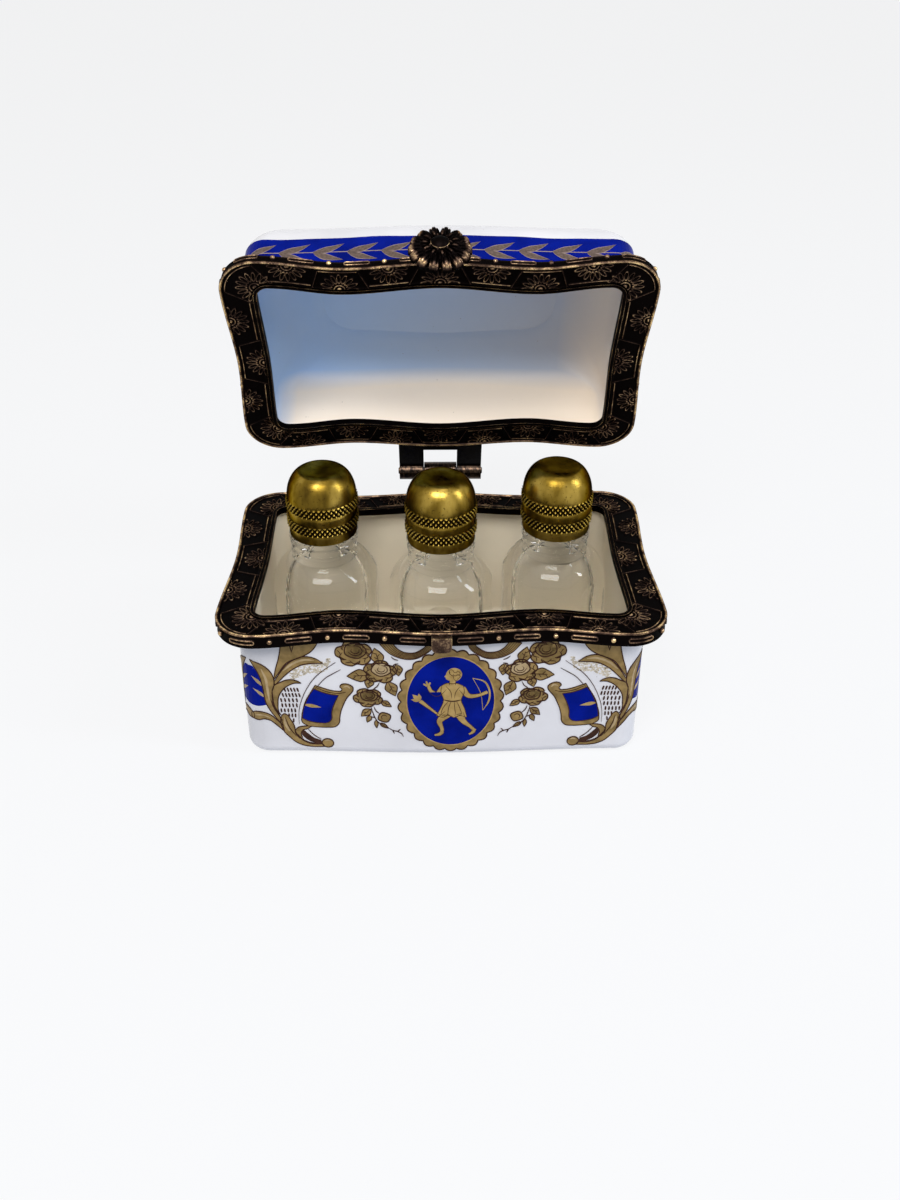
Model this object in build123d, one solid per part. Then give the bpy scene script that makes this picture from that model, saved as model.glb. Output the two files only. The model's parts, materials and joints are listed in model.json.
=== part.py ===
from build123d import *
from dataclasses import dataclass
from math import asin, cos, radians, sin
import os

# A three-bottle perfume casket: a porcelain box and lid in bronze mounts, joined by a
# three-knuckle hinge, with a flower clasp and three faceted glass bottles in brass caps.
# All sizes are in millimetres. X runs to the right, Y to the hinge, Z up, and the origin
# is the middle of the underside. The lid is drawn shut and then swung open to its rest.


@dataclass
class Plan:
    """A plan outline with rounded corners and gently waved sides, as seen from above."""

    half_width: float  # at the corners
    half_depth: float  # at the corners
    side_swell: float  # how far the middle of each side stands out past the corners
    centre_swell: float  # how far the middle of front and back stands out past the corners
    valley: float  # how far front and back draw in beside the middle
    corner: float  # radius of each corner


# How far cutting tools run past what they cut, and how far brackets start inside the mount
run_out = 1.0
bracket_root = 2.0

# Plan outlines
mount_plan = Plan(45.2, 28.3, -1.0, -0.4, 1.8, 8.0)
opening_plan = Plan(37.7, 21.4, -0.5, 0.0, 1.7, 2.5)
porcelain_plan = Plan(41.1, 24.5, 0.4, 1.0, 0.0, 5.0)
valley_distance = 20.0

# Base
base_height = 33.9
floor_thickness = 3.0
porcelain_wall = 2.1
base_foot_radius = 2.4
inner_foot_radius = 1.2

# Bronze mounts
flange_thickness = 1.2
relief_depth = 0.45
ridge_width = 0.7
base_skirt_height = 3.2
lid_skirt_height = 2.4
skirt_thickness = 0.9
skirt_setback = 0.35
lining_thickness = 0.8
lining_gap = 0.05

# Lid
closing_gap = 0.15
lid_height = 23.9
lid_shoulder = 12.0
lid_crown_rise = 0.9
lid_crown_reach = 4.5
lid_corner_growth = 0.45
shoulder_steps = 6
shoulder_last_turn = 78.0
lid_shell = 2.6
lid_open_angle = 68.4

# Hinge
hinge_setback = 9.4
hinge_rise = 0.7
barrel_radius = 2.13
barrel_width = 19.7
middle_knuckle_width = 7.8
knuckle_gap = 0.1
leaf_thickness = 1.4
leaf_strip = 1.3
pin_radius = 0.8
pin_fit = 0.02
pin_running_gap = 0.06
pin_head = 0.3

# Clasp and catch
catch_width = 4.0
catch_height = 3.5
catch_reach = 1.4
catch_round = 1.2
clasp_gap = 0.25
tongue_width = 5.0
tongue_thickness = 0.7
tongue_drop = 2.4
flower_rise = 0.5
flower_radius = 6.4
petal_count = 14
petal_radius = 1.3
petal_thickness = 1.7
inner_petal_count = 9
inner_flower_radius = 4.9
inner_petal_radius = 1.3
inner_petal_rise = 1.0
boss_radius = 1.9
boss_rise = 0.9
boss_shank_radius = 0.9

# Bottles
bottle_places = {"left": (-25.6, 5.8), "middle": (0.0, 2.3), "right": (25.2, 7.0)}
bottle_flats = 22.4
bottle_seat_gap = 0.1
bottle_shoulder = 18.5
bottle_body_height = 28.0
bottle_base_chamfer = 0.6
bottle_bottom = 4.5
bottle_wall = 2.6
cavity_foot_round = 1.0
neck_base_radius = 6.7
neck_ring_radius = 7.2
neck_ring_count = 2
neck_ring_height = 1.5
neck_ring_pitch = 2.4
collar_radius = 7.5
collar_height = 1.3
finish_radius = 6.2
finish_height = 8.2
neck_bore_radius = 3.4

# Caps and their cork liners
cap_fit = 0.08
cap_seat_gap = 0.1
cap_height = 14.8
cap_lip_radius = 7.35
cap_lip_height = 2.1
cap_band_radius = 7.8
cap_band_height = 2.3
cap_waist_radius = 7.5
cap_waist_height = 2.0
cap_disc_radius = 3.9
cap_disc_rim = 0.6
cap_disc_recess = 0.25
cap_wall = 1.1
liner_thickness = 1.2
liner_step = 1.0
liner_fit = 0.08

# Heights and places worked out from the sizes above
base_land = base_height - relief_depth
base_seat = base_land - flange_thickness
lid_face = base_height + closing_gap
lid_land = lid_face + relief_depth
lid_seat = lid_land + flange_thickness
lid_top = lid_face + lid_height
mount_front = mount_plan.half_depth + mount_plan.centre_swell
hinge_y = mount_front + hinge_setback
hinge_z = base_height + hinge_rise
hinge_axis = Axis((0, hinge_y, hinge_z), (-1, 0, 0))
bottle_bottom_z = floor_thickness + bottle_seat_gap
neck_bottom_z = bottle_bottom_z + bottle_body_height
collar_bottom_z = neck_bottom_z + neck_ring_count * neck_ring_pitch
collar_top_z = collar_bottom_z + collar_height
finish_top_z = collar_top_z + finish_height
cap_bottom_z = collar_top_z + cap_seat_gap
cap_top_z = cap_bottom_z + cap_height


def inset(plan, distance):
    """The same outline drawn in by a distance, or let out by a negative one."""
    return Plan(
        plan.half_width - distance,
        plan.half_depth - distance,
        plan.side_swell,
        plan.centre_swell,
        plan.valley,
        plan.corner - distance,
    )


def front_knots(plan):
    """Points of the front edge from left to right; the curve is level at each of them."""
    end = plan.half_width - plan.corner
    knots = [(-end, plan.half_depth)]
    if plan.valley:
        knots.append((-valley_distance, plan.half_depth - plan.valley))
    knots.append((0.0, plan.half_depth + plan.centre_swell))
    if plan.valley:
        knots.append((valley_distance, plan.half_depth - plan.valley))
    knots.append((end, plan.half_depth))
    return [(x, -depth) for x, depth in knots]


def side_knots(plan):
    """Points of the right edge from front to back; the curve is square at each of them."""
    end = plan.half_depth - plan.corner
    middle = plan.half_width + plan.side_swell
    return [(plan.half_width, -end), (middle, 0.0), (plan.half_width, end)]


def waved_edges(knots, along_x):
    """Smooth cubic pieces through the knots, running straight along one axis at each."""
    edges = []
    for (x0, y0), (x1, y1) in zip(knots, knots[1:]):
        step_x = (x1 - x0) / 3 if along_x else 0.0
        step_y = 0.0 if along_x else (y1 - y0) / 3
        leaving = (x0 + step_x, y0 + step_y)
        arriving = (x1 - step_x, y1 - step_y)
        edges.append(Bezier((x0, y0), leaving, arriving, (x1, y1)))
    return edges


def corner_edge(plan, side_x, side_y):
    """The rounded corner on the named side: -1 or 1 along X and along Y."""
    centre_x = side_x * (plan.half_width - plan.corner)
    centre_y = side_y * (plan.half_depth - plan.corner)
    half = plan.corner * cos(radians(45))
    along_y = (centre_x, centre_y + side_y * plan.corner)
    middle = (centre_x + side_x * half, centre_y + side_y * half)
    along_x = (centre_x + side_x * plan.corner, centre_y)
    return ThreePointArc(along_y, middle, along_x)


def plan_face(plan, z=0.0):
    """The filled outline at a height."""
    front = waved_edges(front_knots(plan), True)
    right = waved_edges(side_knots(plan), False)
    back = [edge.mirror(Plane.XZ) for edge in front]
    left = [edge.mirror(Plane.YZ) for edge in right]
    corners = [corner_edge(plan, side_x, side_y) for side_x in (-1, 1) for side_y in (-1, 1)]
    outline = Wire(front + right + back + left + corners)
    return Pos(0, 0, z) * Face(outline)


def prism(plan, low, high):
    return extrude(plan_face(plan, low), amount=high - low, dir=(0, 0, 1))


def ring(outer, inner, low, high):
    return prism(outer, low, high) - prism(inner, low - run_out, high + run_out)


def block(x0, x1, y0, y1, z0, z1):
    centre = ((x0 + x1) / 2, (y0 + y1) / 2, (z0 + z1) / 2)
    return Pos(*centre) * Box(x1 - x0, y1 - y0, z1 - z0)


def rod_x(radius, x0, x1, y, z):
    """A round bar along X."""
    return Pos((x0 + x1) / 2, y, z) * Rot(0, 90, 0) * Cylinder(radius, x1 - x0)


def turned(*lines):
    """A solid turned about Z from lines drawn as radius and height, which close on themselves."""
    edges = [edge for line in lines for edge in line.edges()]
    return revolve(Plane.XZ * Face(Wire(edges)), Axis.Z)


def quarter_dome(centre_radius, centre_z, reach, rise):
    """A quarter of an ellipse from its widest point up to its crown."""
    return EllipticalCenterArc((centre_radius, centre_z), reach, rise, arc_size=90)


def swung_open(shape):
    """Takes a piece drawn on the shut lid to the open rest position."""
    return shape.rotate(hinge_axis, lid_open_angle)


def place_on_bottle(shape, place):
    x, y = bottle_places[place]
    return Pos(x, y, 0) * shape


def base_porcelain():
    body = prism(porcelain_plan, 0, base_seat)
    body = fillet(body.edges().group_by(Axis.Z)[0], base_foot_radius)
    hollow = prism(inset(porcelain_plan, porcelain_wall), floor_thickness, base_seat + run_out)
    hollow = fillet(hollow.edges().group_by(Axis.Z)[0], inner_foot_radius)
    return body - hollow


def mount(face_z, up, skirt_height):
    """A stamped mount whose meeting face is at face_z and whose back lies along up."""
    land = face_z + up * relief_depth
    back = land + up * flange_thickness
    skirt_end = face_z + up * skirt_height
    flange_hole = inset(opening_plan, -lining_thickness - lining_gap)
    skirt_outer = inset(mount_plan, skirt_setback)
    skirt_inner = inset(skirt_outer, skirt_thickness)
    flange = ring(mount_plan, flange_hole, min(land, back), max(land, back))
    rim = ring(mount_plan, inset(mount_plan, ridge_width), min(face_z, land), max(face_z, land))
    skirt = ring(skirt_outer, skirt_inner, min(land, skirt_end), max(land, skirt_end))
    return flange + rim + skirt


def lining(face_z, up):
    """The thin inner lip that lines the opening, as deep as the mount's rim and flange."""
    end = face_z + up * (relief_depth + flange_thickness)
    outer = inset(opening_plan, -lining_thickness)
    return ring(outer, opening_plan, min(face_z, end), max(face_z, end))


def base_catch():
    top = base_height - closing_gap
    bottom = top - catch_height
    front = mount_front + catch_reach
    body = block(-catch_width / 2, catch_width / 2, -front, bracket_root - mount_front, bottom, top)
    lower = body.edges().filter_by(Axis.Y).group_by(Axis.Z)[0]
    body = fillet(lower, catch_round)
    body -= prism(inset(mount_plan, skirt_setback), bottom - run_out, base_seat)
    return body - prism(mount_plan, base_seat, base_height)


def base_hinge_leaf():
    half = middle_knuckle_width / 2
    low = hinge_z - barrel_radius
    high = min(low + leaf_thickness, base_height - closing_gap)
    leaf = block(-half, half, mount_front - bracket_root, hinge_y, low, high)
    leaf += rod_x(barrel_radius, -half, half, hinge_y, hinge_z)
    leaf -= rod_x(pin_radius + pin_running_gap, -half - run_out, half + run_out, hinge_y, hinge_z)
    return leaf - prism(mount_plan, low - run_out, base_height)


def hinge_pin():
    half = barrel_width / 2 + pin_head
    pin = rod_x(pin_radius, -half, half, hinge_y, hinge_z)
    return chamfer(pin.edges().filter_by(GeomType.CIRCLE), pin_head / 2)


def lid_hinge_leaf():
    half = barrel_width / 2
    inner = middle_knuckle_width / 2 + knuckle_gap
    low = lid_face + closing_gap
    high = low + leaf_thickness
    leaf = block(-half, half, mount_front - bracket_root, hinge_y, low, high)
    leaf += rod_x(barrel_radius, -half, half, hinge_y, hinge_z)
    window_start = mount_front + leaf_strip
    window_end = hinge_y + barrel_radius + run_out
    window_low = hinge_z - barrel_radius - run_out
    window_high = hinge_z + barrel_radius + run_out
    leaf -= block(-inner, inner, window_start, window_end, window_low, window_high)
    leaf -= rod_x(pin_radius + pin_fit, -half - run_out, half + run_out, hinge_y, hinge_z)
    return leaf - prism(mount_plan, low - run_out, high + run_out)


def cushion_dome(plan, foot_z, top_z, shoulder):
    """A solid with an upright wall, a round shoulder and a shallow crown."""
    spring_z = top_z - lid_crown_rise - shoulder
    sections = [plan_face(plan, spring_z)]
    for step in range(1, shoulder_steps + 1):
        turn = radians(shoulder_last_turn * step / shoulder_steps)
        drawn_in = shoulder * (1 - cos(turn))
        outline = inset(plan, drawn_in)
        outline.corner = plan.corner + drawn_in * lid_corner_growth
        sections.append(plan_face(outline, spring_z + shoulder * sin(turn)))
    crown = inset(plan, drawn_in + lid_crown_reach)
    crown.corner = plan.corner + shoulder * lid_corner_growth
    sections.append(plan_face(crown, top_z))
    return prism(plan, foot_z, spring_z) + loft(sections)


def lid_porcelain():
    outside = cushion_dome(porcelain_plan, lid_seat, lid_top, lid_shoulder)
    inner_plan = inset(porcelain_plan, porcelain_wall)
    inner_shoulder = lid_shoulder - porcelain_wall
    return outside - cushion_dome(inner_plan, lid_seat - run_out, lid_top - lid_shell, inner_shoulder)


def clasp_tongue():
    """The springy tongue behind the flower, which rubs down over the catch."""
    back = mount_front + catch_reach + clasp_gap
    front = back + tongue_thickness
    low = lid_face - tongue_drop
    high = lid_face + lid_skirt_height
    foot = lid_face + closing_gap
    half = tongue_width / 2
    body = block(-half, half, -front, -back, low, high)
    body += block(-half, half, -front, bracket_root - mount_front, foot, high)
    return body - prism(mount_plan, foot - run_out, high + run_out)


def petal_ring(radius, small, count, thickness):
    """A scalloped disc: a round plate with a ring of rounded petals at its edge."""
    disc = extrude(Circle(radius - small), amount=thickness)
    for index in range(count):
        turn = 360 * index / count
        petal = extrude(Pos(radius - small, 0) * Circle(small), amount=thickness)
        disc += Rot(0, 0, turn) * petal
    return disc


def flower_plane():
    """On the front of the tongue, facing forward, with its own Y axis upward."""
    front = mount_front + catch_reach + clasp_gap + tongue_thickness
    return Plane(origin=(0, -front, lid_face + flower_rise), x_dir=(1, 0, 0), z_dir=(0, -1, 0))


def clasp_flower():
    outer = petal_ring(flower_radius, petal_radius, petal_count, petal_thickness)
    inner = petal_ring(inner_flower_radius, inner_petal_radius, inner_petal_count, inner_petal_rise)
    flower = outer + Pos(0, 0, petal_thickness) * inner
    total = petal_thickness + inner_petal_rise
    flower -= Cylinder(boss_shank_radius + pin_fit, 2 * (total + run_out))
    return flower_plane() * flower


def clasp_boss():
    """The rivet through the flower: a round head on a short shank."""
    under = petal_thickness + inner_petal_rise
    ball = (boss_radius**2 + boss_rise**2) / (2 * boss_rise)
    ball_centre = under + boss_rise - ball
    half_turn = asin(boss_radius / ball) / 2
    middle = (ball * sin(half_turn), ball_centre + ball * cos(half_turn))
    rivet = turned(
        ThreePointArc((boss_radius, under), middle, (0, under + boss_rise)),
        Polyline((0, under + boss_rise), (0, 0), (boss_shank_radius, 0)),
        Polyline((boss_shank_radius, 0), (boss_shank_radius, under), (boss_radius, under)),
    )
    return flower_plane() * rivet


def bottle_outer():
    corner = bottle_flats / 2 / cos(radians(22.5))
    octagon = RegularPolygon(bottle_flats / 2, 8, major_radius=False, rotation=22.5)
    body = extrude(Pos(0, 0, bottle_bottom_z) * octagon, amount=bottle_body_height)
    low = bottle_bottom_z
    spring = low + bottle_shoulder
    foot = corner - bottle_base_chamfer
    domed = turned(
        Polyline((0, low), (foot, low), (corner, low + bottle_base_chamfer), (corner, spring)),
        quarter_dome(neck_base_radius, spring, corner - neck_base_radius, neck_bottom_z - spring),
        Polyline((neck_base_radius, neck_bottom_z), (0, neck_bottom_z), (0, low)),
    )
    return body & domed


def disc(radius, low, high):
    return Pos(0, 0, low) * extrude(Circle(radius), amount=high - low)


def bottle():
    glass = bottle_outer() + disc(neck_base_radius, neck_bottom_z, collar_bottom_z)
    for index in range(neck_ring_count):
        ring_z = neck_bottom_z + (index + 0.5) * neck_ring_pitch - neck_ring_height / 2
        glass += disc(neck_ring_radius, ring_z, ring_z + neck_ring_height)
    glass += disc(collar_radius, collar_bottom_z, collar_top_z)
    glass += disc(finish_radius, collar_top_z, finish_top_z)
    room = bottle_flats / 2 - bottle_wall
    floor = bottle_bottom_z + bottle_bottom
    shoulder = bottle_bottom_z + bottle_shoulder
    round_start = room - cavity_foot_round
    shoulder_rise = neck_bottom_z - shoulder
    bore_top = finish_top_z + run_out
    cavity = turned(
        Polyline((0, floor), (round_start, floor), (room, floor + cavity_foot_round), (room, shoulder)),
        quarter_dome(neck_bore_radius, shoulder, room - neck_bore_radius, shoulder_rise),
        Polyline((neck_bore_radius, neck_bottom_z), (neck_bore_radius, bore_top)),
        Polyline((neck_bore_radius, bore_top), (0, bore_top), (0, floor)),
    )
    return glass - cavity


def cap():
    z = cap_bottom_z
    lip_top = z + cap_lip_height
    band_top = lip_top + cap_band_height
    waist_top = band_top + cap_waist_height
    dome_z = waist_top + cap_band_height
    dished_z = cap_top_z - cap_disc_recess
    shell = turned(
        Polyline((0, z), (cap_lip_radius, z), (cap_lip_radius, lip_top), (cap_band_radius, lip_top)),
        Polyline((cap_band_radius, lip_top), (cap_band_radius, band_top), (cap_waist_radius, band_top)),
        Polyline((cap_waist_radius, band_top), (cap_waist_radius, waist_top), (cap_band_radius, waist_top)),
        Polyline((cap_band_radius, waist_top), (cap_band_radius, dome_z), (cap_waist_radius, dome_z)),
        quarter_dome(cap_disc_radius, dome_z, cap_waist_radius - cap_disc_radius, cap_top_z - dome_z),
        Polyline((cap_disc_radius, cap_top_z), (cap_disc_radius - cap_disc_rim, dished_z)),
        Polyline((cap_disc_radius - cap_disc_rim, dished_z), (0, dished_z), (0, z)),
    )
    bore = finish_radius + cap_fit
    liner_top = finish_top_z + liner_thickness + cap_seat_gap
    above_liner = bore - liner_step
    ceiling = dished_z - cap_wall
    below = z - run_out
    hollow = turned(
        Polyline((0, below), (bore, below), (bore, liner_top), (above_liner, liner_top)),
        Polyline((above_liner, liner_top), (cap_disc_radius, ceiling), (0, ceiling), (0, below)),
    )
    return shell - hollow


def cap_liner():
    radius = finish_radius + cap_fit - liner_fit
    return disc(radius, finish_top_z, finish_top_z + liner_thickness)


def build_all():
    pieces = {
        "base_porcelain": base_porcelain(),
        "base_mount": mount(base_height, -1, base_skirt_height),
        "base_lining": lining(base_height, -1),
        "base_catch": base_catch(),
        "base_hinge_leaf": base_hinge_leaf(),
        "hinge_pin": swung_open(hinge_pin()),
        "lid_porcelain": swung_open(lid_porcelain()),
        "lid_mount": swung_open(mount(lid_face, 1, lid_skirt_height)),
        "lid_lining": swung_open(lining(lid_face, 1)),
        "lid_hinge_leaf": swung_open(lid_hinge_leaf()),
        "clasp_tongue": swung_open(clasp_tongue()),
        "clasp_flower": swung_open(clasp_flower()),
        "clasp_boss": swung_open(clasp_boss()),
    }
    one_bottle = bottle()
    one_cap = cap()
    one_liner = cap_liner()
    for place in bottle_places:
        pieces["bottle_" + place] = place_on_bottle(one_bottle, place)
        pieces["cap_" + place] = place_on_bottle(one_cap, place)
        pieces["cap_liner_" + place] = place_on_bottle(one_liner, place)
    return pieces


os.makedirs("parts", exist_ok=True)
for name, shape in build_all().items():
    shape.label = name
    export_step(shape, "parts/" + name + ".step")
print("hinge axis at y", round(hinge_y, 3), "z", round(hinge_z, 3))
print("cap from z", round(cap_bottom_z, 3), "to", round(cap_top_z, 3))
print("top of the shut lid at z", round(lid_top, 3))
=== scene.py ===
# %% [markdown]
# A porcelain perfume casket that holds three bottles. Its plain solids come in first, each at its
# real size and place. This script dresses them: stamped bronze mounts, painted porcelain, knurled
# brass caps, a flower clasp and clear glass.

# %% Load the pieces and keep their box
import json
import math
from collections import defaultdict
import bmesh
import bpy
import numpy as np
from mathutils import Matrix, Vector
from mathutils.geometry import tessellate_polygon


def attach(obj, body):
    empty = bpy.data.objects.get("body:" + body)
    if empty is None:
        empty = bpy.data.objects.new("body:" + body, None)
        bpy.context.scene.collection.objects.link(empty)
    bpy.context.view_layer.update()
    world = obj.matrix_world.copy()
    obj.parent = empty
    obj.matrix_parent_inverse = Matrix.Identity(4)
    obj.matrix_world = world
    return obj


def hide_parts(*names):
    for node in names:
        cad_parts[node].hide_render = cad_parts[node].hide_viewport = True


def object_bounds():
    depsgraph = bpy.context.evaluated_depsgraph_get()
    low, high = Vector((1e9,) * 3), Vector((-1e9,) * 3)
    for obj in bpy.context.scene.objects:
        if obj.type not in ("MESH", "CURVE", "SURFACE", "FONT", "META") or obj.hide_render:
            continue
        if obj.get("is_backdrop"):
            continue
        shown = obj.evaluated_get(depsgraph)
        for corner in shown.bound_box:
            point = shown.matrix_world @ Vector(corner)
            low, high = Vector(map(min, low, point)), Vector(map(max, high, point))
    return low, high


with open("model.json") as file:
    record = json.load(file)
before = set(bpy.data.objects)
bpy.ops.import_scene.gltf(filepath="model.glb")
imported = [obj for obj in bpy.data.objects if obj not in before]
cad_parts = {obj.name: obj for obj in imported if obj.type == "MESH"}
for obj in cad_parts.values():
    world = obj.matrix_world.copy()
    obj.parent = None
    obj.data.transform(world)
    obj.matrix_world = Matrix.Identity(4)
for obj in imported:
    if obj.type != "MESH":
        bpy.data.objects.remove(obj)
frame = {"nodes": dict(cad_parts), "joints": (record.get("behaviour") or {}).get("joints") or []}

cad_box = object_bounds()
print(len(frame["nodes"]), "pieces,", [round(1000 * v) for v in cad_box[1] - cad_box[0]], "mm")

# %% [markdown]
# Everything here is written in millimetres, as a maker would measure it, and turned into metres
# at the last moment, when a mesh is made.

# %% A mesh from points in millimetres
MM = 0.001


def piece(name, points, faces, material, body, smooth=True):
    """Makes one object from points in millimetres and lets it ride on a body."""
    mesh = bpy.data.meshes.new(name)
    mesh.from_pydata((np.asarray(points) * MM).tolist(), [], faces)
    mesh.materials.append(material)
    mesh.polygons.foreach_set("use_smooth", [smooth] * len(mesh.polygons))
    thing = bpy.data.objects.new(name, mesh)
    bpy.context.scene.collection.objects.link(thing)
    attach(thing, body)
    return thing


def outward(thing):
    """Turns every face of a closed mesh outward."""
    work = bmesh.new()
    work.from_mesh(thing.data)
    bmesh.ops.recalc_face_normals(work, faces=work.faces)
    work.to_mesh(thing.data)
    work.free()


def number_points(thing, name, numbers):
    """Keeps one number for each point of a mesh, for its finish to read."""
    layer = thing.data.attributes.new(name, "FLOAT", "POINT")
    layer.data.foreach_set("value", np.ravel(numbers).astype(np.float32))


def grid_faces(rows, columns):
    """Faces of a grid that closes on itself both ways."""
    row, column = np.mgrid[0:rows, 0:columns]
    next_row, next_column = (row + 1) % rows, (column + 1) % columns
    corners = [row * columns + column, row * columns + next_column]
    corners += [next_row * columns + next_column, next_row * columns + column]
    return np.stack(corners, axis=-1).reshape(-1, 4).tolist()


# %% [markdown]
# The casket's plan is a rounded oblong with gently waved sides. A wave between two points is one
# smooth step: flat at both ends, steepest in the middle. One quarter is drawn, and mirrors of it
# close the loop, so all four sides match.

# %% The waved plan
FRONT_WAVE_X = 20.0


def wave(start, end, along_x, count):
    """Points of a smooth step from start towards end, without the end."""
    t = np.arange(count) / count
    ease = t * t * (3 - 2 * t)
    share_x, share_y = (t, ease) if along_x else (ease, t)
    x = start[0] + (end[0] - start[0]) * share_x
    y = start[1] + (end[1] - start[1]) * share_y
    return np.stack([x, y], axis=1)


def quarter(plan, counts):
    """The front right quarter of a plan, from the middle of the front to the middle of the side."""
    width, depth, side_swell, centre_swell, valley, corner = plan
    bend = width - corner
    middle = (0.0, -depth - centre_swell)
    if valley:
        low = (FRONT_WAVE_X, valley - depth)
        front = [wave(middle, low, True, counts[0]), wave(low, (bend, -depth), True, counts[1])]
    else:
        front = [wave(middle, (bend, -depth), True, counts[0] + counts[1])]
    turn = math.pi / 2 * (np.arange(counts[2]) / counts[2] - 1)
    arc = np.stack([bend + corner * np.cos(turn), corner - depth + corner * np.sin(turn)], axis=1)
    side = wave((width, corner - depth), (width + side_swell, 0.0), False, counts[3])
    return np.vstack(front + [arc, side, [[width + side_swell, 0.0]]])


def plan_loop(plan, counts):
    """The whole outline, anticlockwise from the middle of the front, with outward normals."""
    part = quarter(plan, counts)
    loop = [part, (part * [1, -1])[-2::-1], (part * [-1, -1])[1:], (part * [-1, 1])[-2:0:-1]]
    loop = np.vstack(loop)
    along = np.roll(loop, -1, axis=0) - np.roll(loop, 1, axis=0)
    along /= np.linalg.norm(along, axis=1)[:, None]
    normal = np.stack([along[:, 1], -along[:, 0]], axis=1)
    steps = np.linalg.norm(np.diff(loop, axis=0, append=loop[:1]), axis=1)
    travelled = np.concatenate([[0.0], np.cumsum(steps)])
    return loop, normal, travelled


# a plan is: half width, half depth, swell of the side and of the front, depth of the front's
# valley, corner radius; its counts are points along the front's two stretches, corner and side
MOUNT_PLAN = (45.2, 28.3, -1.0, -0.4, 1.8, 8.0)
OPENING_PLAN = (38.55, 22.25, -0.5, 0.0, 1.7, 3.35)
WALL_PLAN = (41.1, 24.5, 0.4, 1.0, 0.0, 5.0)
MOUNT_COUNTS = (160, 138, 102, 160)
WALL_COUNTS = (180, 180, 80, 200)
wall_loop, wall_normal, wall_travel = plan_loop(WALL_PLAN, WALL_COUNTS)
WALL_ROUND = wall_travel[-1]
print("round the porcelain", round(WALL_ROUND, 1), "mm")

# %% [markdown]
# The lid is drawn shut, where its shape is easy to think about, and then swung open about the
# hinge, whose place and angle come from the frame's own joint.

# %% Swing a drawn point open
hinge = next(joint for joint in frame["joints"] if joint["name"] == "lid_hinge")
HINGE_Y, HINGE_Z = (value / MM for value in hinge["pos_m"][1:])
OPEN_TURN = math.radians(-hinge["range_deg"][0])


def swing(points):
    """Moves points drawn on the shut lid to the open rest position."""
    points = np.asarray(points, float)
    y, z = points[..., 1] - HINGE_Y, points[..., 2] - HINGE_Z
    turned_y = HINGE_Y + y * math.cos(OPEN_TURN) + z * math.sin(OPEN_TURN)
    turned_z = HINGE_Z - y * math.sin(OPEN_TURN) + z * math.cos(OPEN_TURN)
    return np.stack([points[..., 0], turned_y, turned_z], axis=-1)


def as_drawn(points):
    return np.asarray(points, float)


print("hinge at", round(HINGE_Y, 2), round(HINGE_Z, 2), "open", round(math.degrees(OPEN_TURN), 1))

# %% [markdown]
# Every finish is a small node tree. These helpers keep the trees short: noise that is fixed to
# the piece, a colour ramp between named colours, and a bump.

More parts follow.
